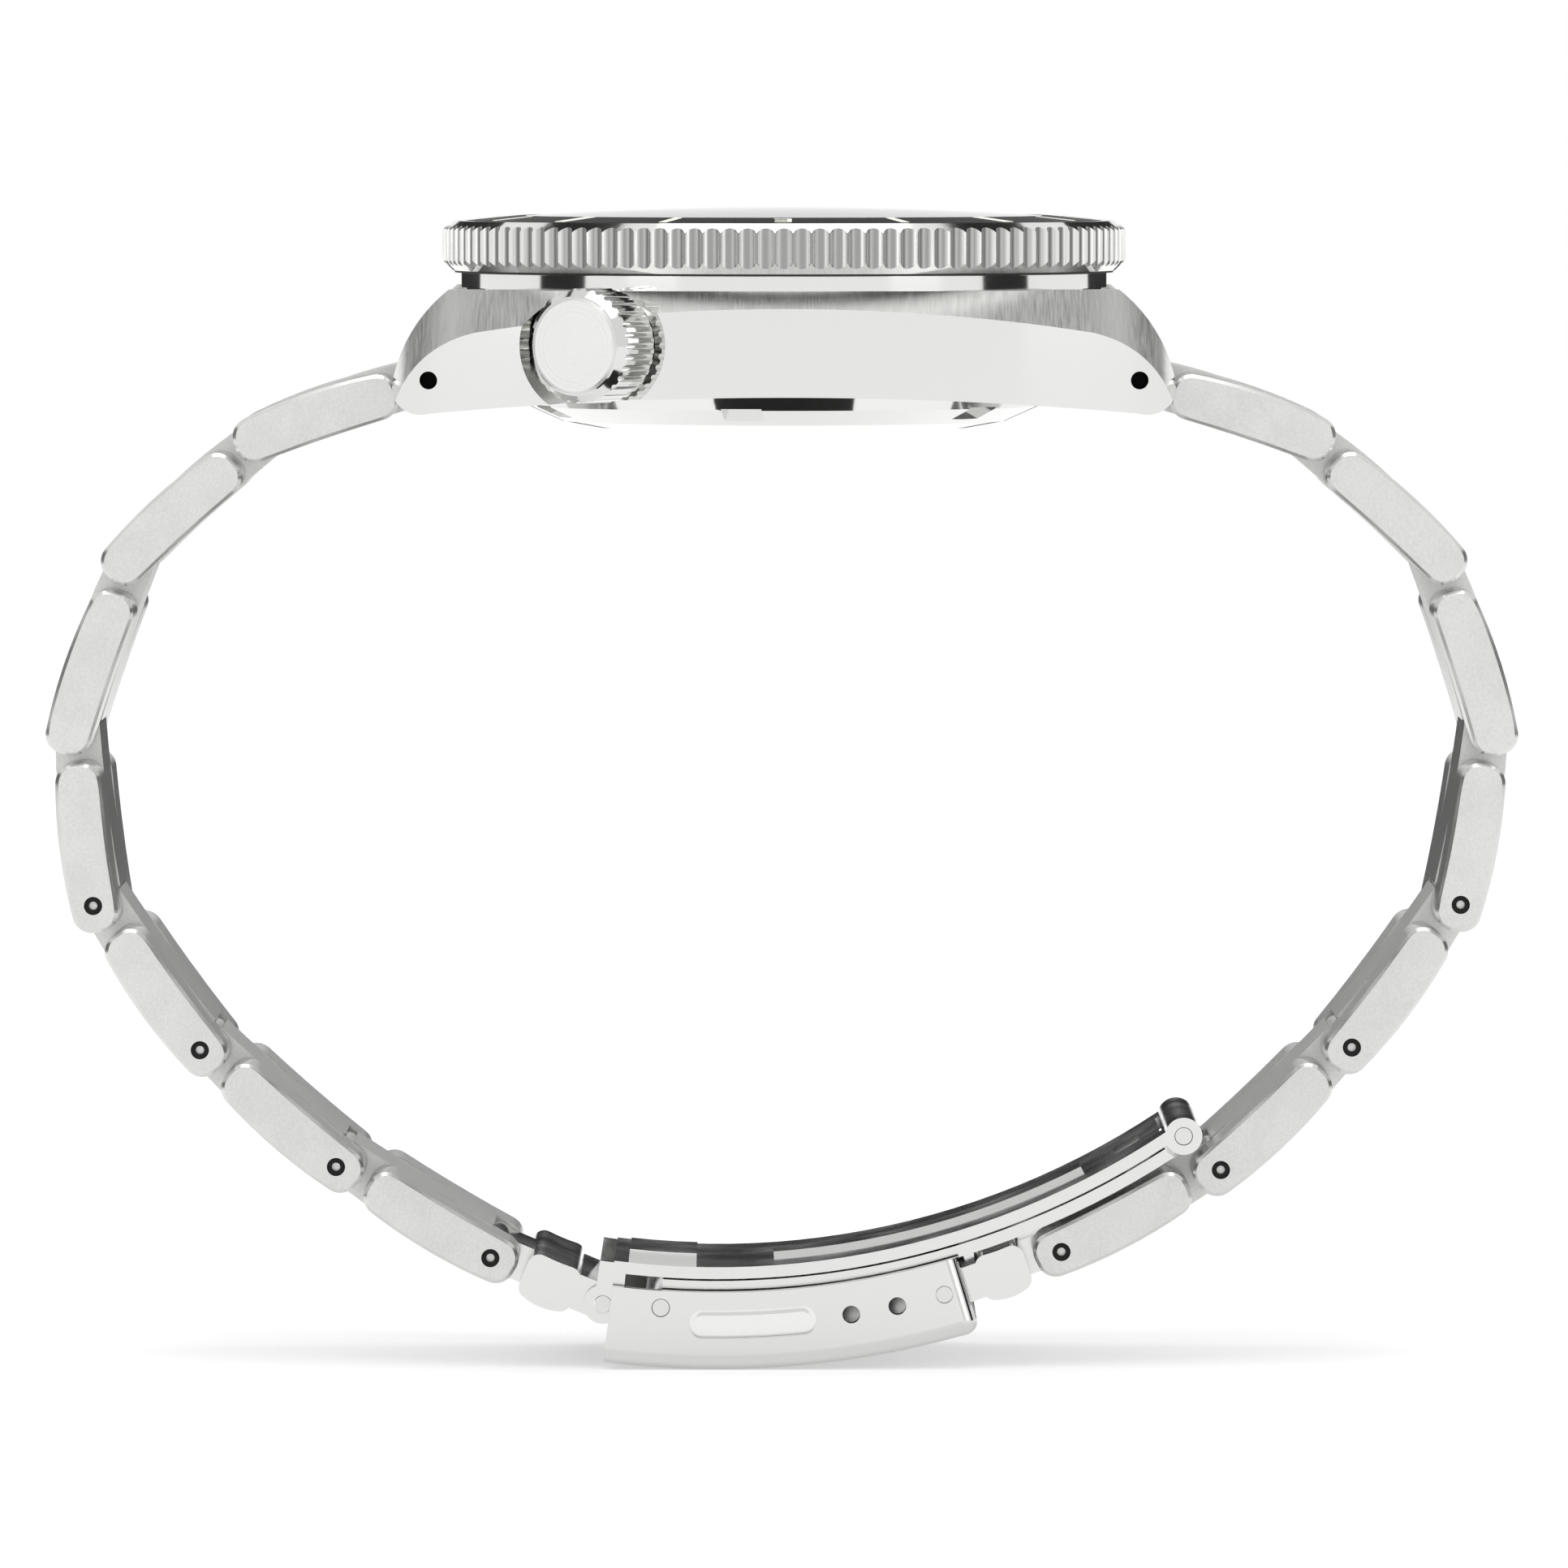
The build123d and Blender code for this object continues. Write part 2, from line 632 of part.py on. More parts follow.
with BuildPart() as mainspring_barrel:
    with BuildSketch(Plane.XY.offset(bridge_top_z + 0.3)):
        with Locations(barrel_place):
            Circle(barrel_radius)
            with PolarLocations(barrel_radius, 72):
                Circle(0.1, mode=Mode.SUBTRACT)
    extrude(amount=0.35)
    with BuildSketch(Plane.XY.offset(bridge_top_z + 0.65)):
        with Locations(barrel_place):
            Circle(barrel_radius - 0.4)
    extrude(amount=0.75)
mainspring_barrel.part.label = "mainspring_barrel"
export_step(mainspring_barrel.part, "parts/mainspring_barrel.step")

with BuildPart() as balance_wheel:
    with BuildSketch(Plane.XY.offset(bridge_top_z + 0.4)):
        with Locations(balance_place):
            Circle(balance_radius)
            Circle(balance_radius - 0.5, mode=Mode.SUBTRACT)
            Circle(0.6)
            with PolarLocations(balance_radius / 2, 3):
                Rectangle(balance_radius - 0.4, 0.5)
    extrude(amount=0.4)
    with BuildSketch(Plane.XY.offset(bridge_top_z + 0.05)):
        with Locations(balance_place):
            Circle(0.2)
    extrude(amount=plate_bottom_z - bridge_top_z)
balance_wheel.part.label = "balance_wheel"
export_step(balance_wheel.part, "parts/balance_wheel.step")

rotor_hub = 2.3
bearing_radius = 1.5

with BuildPart() as rotor:
    # thin plate over a half turn, with the heavy rim and the hub ring
    with BuildSketch(Plane.XY.offset(rotor_top_z - 0.35)):
        with BuildLine():
            CenterArc((0, 0), rotor_radius, 178, 184)
            Line((rotor_radius * cos(radians(2)), rotor_radius * sin(radians(2))), (0, 2.6))
            Line((0, 2.6), (-rotor_radius * cos(radians(2)), rotor_radius * sin(radians(2))))
        make_face()
        Circle(rotor_hub)
        with PolarLocations(6.6, 3, start_angle=230, angular_range=80):
            SlotOverall(5.6, 2.6, mode=Mode.SUBTRACT)
        Circle(bearing_radius + hand_clearance, mode=Mode.SUBTRACT)
    extrude(amount=0.35)
    with BuildSketch(Plane.XY.offset(rotor_bottom_z)):
        with BuildLine():
            CenterArc((0, 0), rotor_radius, 178, 184)
            Line(rotor_radius * Vector(cos(radians(2)), sin(radians(2))), 10.6 * Vector(cos(radians(2)), sin(radians(2))))
            CenterArc((0, 0), 10.6, 2, -184)
            Line(10.6 * Vector(-cos(radians(2)), sin(radians(2))), rotor_radius * Vector(-cos(radians(2)), sin(radians(2))))
        make_face()
    extrude(amount=rotor_top_z - rotor_bottom_z)
    with BuildSketch(Plane.XY.offset(rotor_bottom_z + 0.15)):
        Circle(rotor_hub)
        Circle(bearing_radius + hand_clearance, mode=Mode.SUBTRACT)
    extrude(amount=rotor_top_z - rotor_bottom_z - 0.15)
rotor.part.label = "rotor"
export_step(rotor.part, "parts/rotor.step")

with BuildPart() as rotor_bearing:
    with BuildSketch(Plane.XY.offset(rotor_bottom_z)):
        Circle(bearing_radius)
    extrude(amount=bridge_bottom_z - rotor_bottom_z)
    with BuildSketch(Plane.XY.offset(rotor_bottom_z)):
        Rectangle(2.2, 0.35)
    extrude(amount=0.3, mode=Mode.SUBTRACT)
rotor_bearing.part.label = "rotor_bearing"
export_step(rotor_bearing.part, "parts/rotor_bearing.step")

# ---- crown ------------------------------------------------------------------------------------------------

crown_bore = tube_radius + 0.25
crown_bore_depth = 2.1

with BuildPart() as crown_tube:
    with BuildSketch(crown_axis.offset(movement_bore_radius + 0.05)):
        Circle(tube_radius)
        Circle(stem_radius + hand_clearance, mode=Mode.SUBTRACT)
    extrude(amount=crown_inner_reach + 1.6 - movement_bore_radius)
crown_tube.part.label = "crown_tube"
export_step(crown_tube.part, "parts/crown_tube.step")

with BuildPart() as winding_stem:
    with BuildSketch(crown_axis.offset(8)):
        Circle(stem_radius)
    extrude(amount=crown_inner_reach + crown_bore_depth + 0.6 - 8)
winding_stem.part.label = "winding_stem"
export_step(winding_stem.part, "parts/winding_stem.step")

with BuildPart() as crown:
    with BuildSketch(crown_axis.offset(crown_inner_reach)):
        Circle(crown_radius)
        with PolarLocations(crown_radius + 0.12, crown_flutes):
            Circle(0.24, mode=Mode.SUBTRACT)
    extrude(amount=crown_length)
    with BuildSketch(Plane(crown_axis.origin, x_dir=crown_axis.z_dir, z_dir=(0, 0, 1))):
        with BuildLine():
            low, high = crown_inner_reach, crown_inner_reach + crown_length
            Polyline((low, 0), (low, crown_radius - 0.3), (low + 0.3, crown_radius), (high - 0.6, crown_radius))
            Line((high - 0.6, crown_radius), (high - 0.15, crown_face_radius))
            Line((high - 0.15, crown_face_radius), (high, crown_face_radius - 0.25))
            Polyline((high, crown_face_radius - 0.25), (high, 0), (low, 0))
        make_face()
    revolve(axis=Axis(crown_axis.origin, crown_axis.z_dir), mode=Mode.INTERSECT)
    with BuildSketch(crown_axis.offset(crown_inner_reach)):
        Circle(crown_bore)
    extrude(amount=crown_bore_depth, mode=Mode.SUBTRACT)
    with BuildSketch(crown_axis.offset(crown_inner_reach)):
        Circle(stem_radius + 0.02)
    extrude(amount=crown_bore_depth + 0.65, mode=Mode.SUBTRACT)
crown.part.label = "crown"
export_step(crown.part, "parts/crown.step")

with BuildPart() as crown_gasket:
    with BuildSketch(crown_axis.offset(crown_inner_reach + 0.5)):
        Circle(crown_bore - 0.01)
        Circle(tube_radius + 0.03, mode=Mode.SUBTRACT)
    extrude(amount=0.6)
crown_gasket.part.label = "crown_gasket"
export_step(crown_gasket.part, "parts/crown_gasket.step")

# ---- lug spring bars and end links ------------------------------------------------------------------------

bar_half = lug_width / 2 - 0.15
with BuildPart() as lug_spring_bars:
    with BuildSketch(Plane.YZ):
        with Locations((lug_pivot_y, lug_pivot_z), (-lug_pivot_y, lug_pivot_z)):
            Circle(spring_bar_radius)
    extrude(amount=bar_half, both=True)
    with BuildSketch(Plane.YZ):
        with Locations((lug_pivot_y, lug_pivot_z), (-lug_pivot_y, lug_pivot_z)):
            Circle(spring_bar_tip_radius)
    extrude(amount=bar_half + 2.2, both=True)
lug_spring_bars.part.label = "lug_spring_bars"
export_step(lug_spring_bars.part, "parts/lug_spring_bars.step")

bar_bore = spring_bar_radius + pin_clearance
for side, name in ((1, "end_link_12h"), (-1, "end_link_6h")):
    with BuildPart() as end_link:
        with BuildSketch(Plane((0, 0, 0), x_dir=(0, side, 0), z_dir=(side, 0, 0))):
            with BuildLine():
                Polyline((16, 1.5), (16, 8.0), (19.4, 7.9))
                ThreePointArc((19.4, 7.9), (21.5, 6.0), (lug_pivot_y + 1.72, lug_pivot_z + 0.4))
                ThreePointArc(
                    (lug_pivot_y + 1.72, lug_pivot_z + 0.4),
                    (lug_pivot_y + 1.2, lug_pivot_z - 1.2),
                    (lug_pivot_y, 1.4),
                )
                Polyline((lug_pivot_y, 1.4), (16, 1.5))
            make_face()
            # room for the first centre link to swing
            with Locations((lug_pivot_y, lug_pivot_z)):
                Circle(bar_bore, mode=Mode.SUBTRACT)
        extrude(amount=lug_width / 2 - 0.05, both=True)
        with BuildSketch(Plane((0, 0, 0), x_dir=(0, side, 0), z_dir=(side, 0, 0))):
            with Locations((lug_pivot_y, lug_pivot_z)):
                Circle(knuckle_radius + knuckle_relief)
            with Locations((lug_pivot_y + 2, lug_pivot_z - 1)):
                Rectangle(4, 6.4)
        extrude(amount=centre_width(0) / 2 + side_gap, both=True, mode=Mode.SUBTRACT)
        with BuildSketch():
            Circle(case_end_radius + 0.06)
        extrude(amount=case_top_z, mode=Mode.SUBTRACT)
    end_link.part.label = name
    export_step(end_link.part, f"parts/{name}.step")

# ---- bracelet rows ----------------------------------------------------------------------------------------


def link_outline(start, stop):
    """Side outline of a link: bulged outside, slightly hollow inside, with rounded ends."""
    middle = (start + stop) / 2
    with BuildLine() as outline:
        ThreePointArc((start, link_out - link_crown), (middle, link_out), (stop, link_out - link_crown))
        Line((stop, link_out - link_crown), (stop, -link_in))
        ThreePointArc((stop, -link_in), (middle, link_hollow - link_in), (start, -link_in))
        Line((start, -link_in), (start, link_out - link_crown))
    make_face(outline.edges())


dowel_x = pitch * 0.48
dowel_reach = 2.2

for side, points, angles, group in ((1, points_12h, angles_12h, "12h"), (-1, points_6h, angles_6h, "6h")):
    for row in range(rows):
        side_plane, top_plane = row_planes(side, points[row], angles[row])
        centre_half = centre_width(row) / 2
        inner_x = centre_half + side_gap
        near = row_width(row * pitch + link_start) / 2
        far = row_width((row + 1) * pitch + link_past) / 2
        end = pitch + link_past
        with BuildPart() as outer_links:
            with BuildSketch(side_plane):
                link_outline(link_start, end)
                fillet(vertices(), link_corner)
            extrude(amount=near + 1, both=True)
            with BuildSketch(top_plane):
                for flip in (1, -1):
                    with BuildLine():
                        Polyline(
                            (link_start - 1, flip * inner_x),
                            (end + 1, flip * inner_x),
                            (end + 1, flip * far),
                            (link_start - 1, flip * near),
                            close=True,
                        )
                    make_face()
            extrude(amount=4, both=True, mode=Mode.INTERSECT)
            sides = faces().sort_by(Axis.X)
            chamfer(sides[0].edges() + sides[-1].edges(), edge_break)
            # pivot pin holes, open outside only on the rows that can be taken out
            with BuildSketch(side_plane):
                with Locations((pitch, 0), (dowel_x, 0)):
                    Circle(pin_radius + pin_clearance)
            hole_half = near + 1 if row + 1 in removable_rows else far - 1.0
            extrude(amount=far - 1.0, both=True, mode=Mode.SUBTRACT)
            with BuildSketch(side_plane):
                with Locations((pitch, 0)):
                    Circle(pin_radius + pin_clearance)
            extrude(amount=hole_half, both=True, mode=Mode.SUBTRACT)
        with BuildPart() as centre_link:
            with BuildSketch(side_plane):
                link_outline(0.2, pitch - 0.7)
                Circle(knuckle_radius)
                with Locations((pitch, 0)):
                    Circle(knuckle_radius + knuckle_relief, mode=Mode.SUBTRACT)
            extrude(amount=centre_half, both=True)
            with BuildSketch(side_plane):
                Circle(bar_bore if row == 0 else pin_radius + pin_clearance)
            extrude(amount=centre_half + 1, both=True, mode=Mode.SUBTRACT)
            with BuildSketch(side_plane):
                with Locations((dowel_x, 0)):
                    Circle(pin_radius)
            extrude(amount=centre_half + dowel_reach, both=True)
        with BuildPart() as row_pin:
            with BuildSketch(side_plane):
                with Locations((pitch, 0)):
                    Circle(pin_radius)
            extrude(amount=far - 1.1 if row + 1 not in removable_rows else far - 0.35, both=True)
        whole_row = Compound(
            label=f"link_{group}_{row + 1}",
            children=[*outer_links.part.solids(), *centre_link.part.solids(), *row_pin.part.solids()],
        )
        export_step(whole_row, f"parts/link_{group}_{row + 1}.step")

# ---- clasp end pieces -------------------------------------------------------------------------------------

cover_inner_half = cover_width / 2 - cover_wall
end_half = row_width_at_clasp / 2
last_knuckle_half = centre_width(rows) / 2
tongue_radius = 1.25
tongue_in = 1.05
tongue_out = 1.1

# 12 o'clock side: pivots on the last row and on the clasp's spring bar
side_plane, top_plane = row_planes(1, points_12h[rows], angles_12h[rows])
with BuildPart() as clasp_end_12h:
    block_stop = clasp_end_12h_length - 2.2
    with BuildSketch(side_plane):
        link_outline(link_start, block_stop)
        fillet(vertices(), 0.7)
    extrude(amount=end_half, both=True)
    with BuildSketch(side_plane):
        with BuildLine():
            tongue = ((clasp_end_12h_length, tongue_out), (clasp_end_12h_length, -tongue_in))
            Polyline((0, tongue_out), *tongue, (0, -tongue_in), close=True)
        make_face()
        Circle(knuckle_radius)
    extrude(amount=last_knuckle_half, both=True)
    with BuildSketch(side_plane):
        with Locations((clasp_end_12h_length - 1.6, 0)):
            Rectangle(3.2, 2 * tongue_in)
        with Locations((clasp_end_12h_length, 0)):
            Circle(tongue_radius - 0.15)
    extrude(amount=cover_inner_half - end_gap, both=True)
    with BuildSketch(side_plane):
        Circle(pin_radius + pin_clearance)
        with Locations((clasp_end_12h_length, 0)):
            Circle(spring_bar_radius + pin_clearance)
    extrude(amount=end_half + cover_inner_half, both=True, mode=Mode.SUBTRACT)
clasp_end_12h.part.label = "clasp_end_12h"
export_step(clasp_end_12h.part, "parts/clasp_end_12h.step")

# 6 o'clock side: an open saddle that meets the outer blade's pin
ear_inner_half = outer_blade_width / 2 - ear_thickness
side_plane, top_plane = row_planes(-1, points_6h[rows], angles_6h[rows])
with BuildPart() as clasp_end_6h:
    block_stop = clasp_end_6h_length - 1.75
    with BuildSketch(side_plane):
        link_outline(link_start, block_stop)
        fillet(vertices(), 0.7)
    extrude(amount=end_half, both=True)
    with BuildSketch(side_plane):
        with BuildLine():
            tongue = ((clasp_end_6h_length, tongue_out), (clasp_end_6h_length, -tongue_in))
            Polyline((0, tongue_out), *tongue, (0, -tongue_in), close=True)
        make_face()
        Circle(knuckle_radius)
    extrude(amount=last_knuckle_half, both=True)
    with BuildSketch(side_plane):
        with Locations((clasp_end_6h_length - 1.2, 0)):
            Rectangle(2.4, 2 * tongue_in)
    extrude(amount=ear_inner_half - end_gap, both=True)
    # cut back to an open saddle, clear of the pin
    with BuildSketch(side_plane):
        with Locations((clasp_end_6h_length - saddle_gap, 0)):
            Rectangle(4, 6, align=(Align.MIN, Align.CENTER))
        with Locations((clasp_end_6h_length, 0)):
            Circle(pin_radius + saddle_clearance)
        Circle(pin_radius + pin_clearance)
    extrude(amount=end_half + 1, both=True, mode=Mode.SUBTRACT)
clasp_end_6h.part.label = "clasp_end_6h"
export_step(clasp_end_6h.part, "parts/clasp_end_6h.step")

# ---- clasp cover ------------------------------------------------------------------------------------------

cover_floor_radius = cover_outer_radius - cover_floor
with BuildPart() as clasp_cover:
    with BuildSketch(Plane.YZ):
        arc_strip(cover_wall_top_radius, cover_outer_radius, cover_start_angle, cover_end_angle)
        fillet(vertices().group_by(Axis.X)[-1], 0.8)
    extrude(amount=cover_width / 2, both=True)
    arcs = edges().filter_by(GeomType.CIRCLE)
    bottom_edges = arcs.filter_by(lambda arc: abs(arc.radius - cover_outer_radius) < 0.01)
    fillet(bottom_edges, 0.9)
    with BuildSketch(Plane.YZ):
        arc_strip(cover_wall_top_radius - 3, cover_floor_radius, cover_start_angle - 6, cover_end_angle + 6)
    extrude(amount=cover_inner_half, both=True, mode=Mode.SUBTRACT)
    # slots for the two push buttons
    half_slot = degrees((button_length / 2 + button_slot_gap) / button_radius)
    with BuildSketch(Plane.YZ):
        arc_strip(
            button_radius - button_height / 2 - button_slot_gap,
            button_radius + button_height / 2 + button_slot_gap,
            button_angle - half_slot,
            button_angle + half_slot,
        )
        fillet(vertices(), 0.75)
    extrude(amount=cover_width, both=True, mode=Mode.SUBTRACT)
    # spring bar, hinge pin and spare adjustment holes
    with BuildSketch(Plane.YZ):
        with Locations(on_clasp(clasp_pivot_radius, clasp_pivot_angle)):
            Circle(lug_hole_radius)
        with Locations(on_clasp(hinge_radius, hinge_angle)):
            Circle(pin_radius + pin_clearance)
        for angle in spare_hole_angles:
            with Locations(on_clasp(clasp_pivot_radius, angle)):
                Circle(lug_hole_radius)
    extrude(amount=cover_width, both=True, mode=Mode.SUBTRACT)
clasp_cover.part.label = "clasp_cover"
export_step(clasp_cover.part, "parts/clasp_cover.step")

with BuildPart() as clasp_spring_bar:
    with BuildSketch(Plane.YZ):
        with Locations(on_clasp(clasp_pivot_radius, clasp_pivot_angle)):
            Circle(spring_bar_radius)
    extrude(amount=cover_inner_half - 0.05, both=True)
    with BuildSketch(Plane.YZ):
        with Locations(on_clasp(clasp_pivot_radius, clasp_pivot_angle)):
            Circle(spring_bar_tip_radius)
    extrude(amount=cover_width / 2 - 0.15, both=True)
clasp_spring_bar.part.label = "clasp_spring_bar"
export_step(clasp_spring_bar.part, "parts/clasp_spring_bar.step")

with BuildPart() as blade_hinge_pin:
    with BuildSketch(Plane.YZ):
        with Locations(on_clasp(hinge_radius, hinge_angle)):
            Circle(pin_radius)
    extrude(amount=cover_width / 2 - 0.1, both=True)
blade_hinge_pin.part.label = "blade_hinge_pin"
export_step(blade_hinge_pin.part, "parts/blade_hinge_pin.step")

# push buttons, each a pad with a wider flange behind the wall
half_pad = degrees(button_length / 2 / button_radius)
for flip, name in ((1, "push_button_near"), (-1, "push_button_far")):
    with BuildPart() as push_button:
        with BuildSketch(Plane.YZ.offset(flip * (cover_inner_half - 0.9))):
            arc_strip(
                button_radius - button_height / 2,
                button_radius + button_height / 2,
                button_angle - half_pad,
                button_angle + half_pad,
            )
            fillet(vertices(), 0.5)
        extrude(amount=flip * (cover_wall + 0.9 + 0.1))
        with BuildSketch(Plane.YZ.offset(flip * (cover_inner_half - 0.9))):
            arc_strip(
                button_radius - button_height / 2 - 0.5,
                button_radius + button_height / 2 + 0.5,
                button_angle - half_pad - 0.8,
                button_angle + half_pad + 0.8,
            )
        extrude(amount=flip * 0.8)
    push_button.part.label = name
    export_step(push_button.part, f"parts/{name}.step")

# leaf spring between the buttons
spring_half = cover_inner_half - 0.9 - button_travel - 0.15
with BuildPart() as latch_spring:
    with BuildSketch(Plane.YZ):
        arc_strip(button_radius + 0.9, button_radius + 1.1, button_angle - 1.6, button_angle + 1.6)
    extrude(amount=spring_half, both=True)
    for flip in (1, -1):
        with BuildSketch(Plane.YZ.offset(flip * spring_half)):
            arc_strip(button_radius - 0.4, button_radius + 1.1, button_angle - 1.6, button_angle + 1.6)
        extrude(amount=-flip * 0.2)
latch_spring.part.label = "latch_spring"
export_step(latch_spring.part, "parts/latch_spring.step")

# ---- clasp blades -----------------------------------------------------------------------------------------

blade_slit = 0.25  # clearance in the fold's barrel, side by side
fold_thirds = 5.2  # half width of the barrel's middle part
hinge_barrel = 1.0

with BuildPart() as inner_blade:
    with BuildSketch(Plane.YZ):
        arc_strip(inner_blade_radius, inner_blade_radius + blade_thickness, hinge_angle, fold_angle)
        with Locations(on_clasp(hinge_radius, hinge_angle)):
            Circle(hinge_barrel)
    extrude(amount=inner_blade_width / 2, both=True)
    # barrel of the fold, in the middle only
    with BuildSketch(Plane.YZ):
        with Locations(on_clasp(fold_radius, fold_angle)):
            Circle(fold_barrel + blade_slit)
    extrude(amount=inner_blade_width, both=True, mode=Mode.SUBTRACT)
    with BuildSketch(Plane.YZ):
        arc_strip(inner_blade_radius, inner_blade_radius + blade_thickness, fold_angle - 4, fold_angle)
        with Locations(on_clasp(fold_radius, fold_angle)):
            Circle(fold_barrel)
    extrude(amount=fold_thirds, both=True)
    with BuildSketch(Plane.YZ):
        with Locations(on_clasp(fold_radius, fold_angle), on_clasp(hinge_radius, hinge_angle)):
            Circle(pin_radius + pin_clearance)
    extrude(amount=inner_blade_width, both=True, mode=Mode.SUBTRACT)
    # long window that lightens the blade
    with BuildSketch(Plane.YZ):
        arc_strip(inner_blade_radius - 1, inner_blade_radius + 2, 8, 29)
    extrude(amount=3.2, both=True, mode=Mode.SUBTRACT)
inner_blade.part.label = "inner_blade"
export_step(inner_blade.part, "parts/inner_blade.step")

outer_start = ear_angle + 0.4
with BuildPart() as outer_blade:
    with BuildSketch(Plane.YZ):
        arc_strip(outer_blade_radius, outer_blade_radius + blade_thickness, outer_start, fold_angle)
    extrude(amount=outer_blade_width / 2, both=True)
    with BuildSketch(Plane.YZ):
        with Locations(on_clasp(fold_radius, fold_angle)):
            Circle(fold_barrel + blade_slit)
    extrude(amount=fold_thirds + 0.1, both=True, mode=Mode.SUBTRACT)
    # barrel of the fold, at both sides
    for flip in (1, -1):
        with BuildSketch(Plane.YZ.offset(flip * (fold_thirds + 0.1))):
            with Locations(on_clasp(fold_radius, fold_angle)):
                Circle(fold_barrel)
        extrude(amount=flip * (outer_blade_width / 2 - fold_thirds - 0.1))
    # ears down to the end piece's pin
    for flip in (1, -1):
        with BuildSketch(Plane.YZ.offset(flip * ear_inner_half)):
            with Locations(ear_point):
                Circle(1.15)
            arc_strip(outer_blade_radius + 0.1, ear_radius, ear_angle - 0.6, ear_angle + 1.3)
        extrude(amount=flip * ear_thickness)
    # rib along the blade and a raised box at its end
    with BuildSketch(Plane.YZ):
        arc_strip(outer_blade_radius - 0.25, outer_blade_radius + 0.1, 4, 27)
    extrude(amount=1.6, both=True)
    with BuildSketch(Plane.YZ):
        arc_strip(outer_blade_radius - 0.45, outer_blade_radius + 0.1, outer_start + 1.0, -1.5)
    extrude(amount=4.2, both=True)
    # slot near the fold, and the pin holes
    with BuildSketch(Plane.YZ):
        arc_strip(outer_blade_radius - 1, outer_blade_radius + 1, 29.6, 31.6)
    extrude(amount=2.6, both=True, mode=Mode.SUBTRACT)
    with BuildSketch(Plane.YZ):
        with Locations(on_clasp(fold_radius, fold_angle), ear_point):
            Circle(pin_radius + pin_clearance)
    extrude(amount=outer_blade_width, both=True, mode=Mode.SUBTRACT)
outer_blade.part.label = "outer_blade"
export_step(outer_blade.part, "parts/outer_blade.step")

with BuildPart() as fold_pin:
    with BuildSketch(Plane.YZ):
        with Locations(on_clasp(fold_radius, fold_angle)):
            Circle(pin_radius)
    extrude(amount=outer_blade_width / 2 - 0.1, both=True)
fold_pin.part.label = "fold_pin"
export_step(fold_pin.part, "parts/fold_pin.step")

with BuildPart() as ear_pin:
    with BuildSketch(Plane.YZ):
        with Locations(ear_point):
            Circle(pin_radius)
    extrude(amount=outer_blade_width / 2 - 0.1, both=True)
ear_pin.part.label = "ear_pin"
export_step(ear_pin.part, "parts/ear_pin.step")
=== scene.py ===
import json
import math
import bpy
from mathutils import Matrix, Vector


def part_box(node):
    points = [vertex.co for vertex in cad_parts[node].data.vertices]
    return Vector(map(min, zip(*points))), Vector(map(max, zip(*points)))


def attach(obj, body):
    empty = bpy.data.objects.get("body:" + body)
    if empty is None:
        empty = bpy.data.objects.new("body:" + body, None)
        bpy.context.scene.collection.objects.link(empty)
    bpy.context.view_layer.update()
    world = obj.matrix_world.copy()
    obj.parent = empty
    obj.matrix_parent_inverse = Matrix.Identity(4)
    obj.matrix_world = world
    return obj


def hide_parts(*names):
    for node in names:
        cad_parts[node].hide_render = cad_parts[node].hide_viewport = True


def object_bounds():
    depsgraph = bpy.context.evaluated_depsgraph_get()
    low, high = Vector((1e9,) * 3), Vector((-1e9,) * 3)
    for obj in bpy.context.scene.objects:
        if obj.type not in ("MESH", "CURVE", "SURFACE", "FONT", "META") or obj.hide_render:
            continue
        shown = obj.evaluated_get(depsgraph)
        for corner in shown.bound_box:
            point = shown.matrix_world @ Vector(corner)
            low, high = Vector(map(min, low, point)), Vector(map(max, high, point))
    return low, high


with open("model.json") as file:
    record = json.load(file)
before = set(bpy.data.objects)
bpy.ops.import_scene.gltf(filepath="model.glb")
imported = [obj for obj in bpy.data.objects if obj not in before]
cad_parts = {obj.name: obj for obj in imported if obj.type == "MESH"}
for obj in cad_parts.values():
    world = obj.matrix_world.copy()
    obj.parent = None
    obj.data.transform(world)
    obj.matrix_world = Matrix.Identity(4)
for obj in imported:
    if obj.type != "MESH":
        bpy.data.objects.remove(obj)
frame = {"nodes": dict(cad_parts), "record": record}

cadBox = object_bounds()
mm = 0.001
record = frame["record"]
noiseRange = {"From Min": 0.3, "From Max": 0.7}  # most of a grain noise's values lie in this range
hazeRange = {"From Min": 0.35, "From Max": 0.7}  # the same for the cloudy noise of a polished face
reliefDepth = 0.01 * mm
smoothAngle = math.radians(30)


def hexColour(code):
    channels = [int(code[i:i + 2], 16) / 255 for i in (0, 2, 4)]
    return [c / 12.92 if c <= 0.04045 else ((c + 0.055) / 1.055) ** 2.4 for c in channels] + [1.0]


# adds one node: settings are its properties or its sockets' values, links are what feeds its sockets
def addNode(material, kind, settings=None, links=None):
    node = material.node_tree.nodes.new(kind)
    for name, value in (settings or {}).items():
        if isinstance(name, str) and hasattr(node, name):
            setattr(node, name, value)
        else:
            node.inputs[name].default_value = value
    for name, socket in (links or {}).items():
        material.node_tree.links.new(socket, node.inputs[name])
    return node


def newMaterial(name):
    material = bpy.data.materials.new(name)
    material.use_nodes = True
    material.node_tree.nodes.clear()
    return material


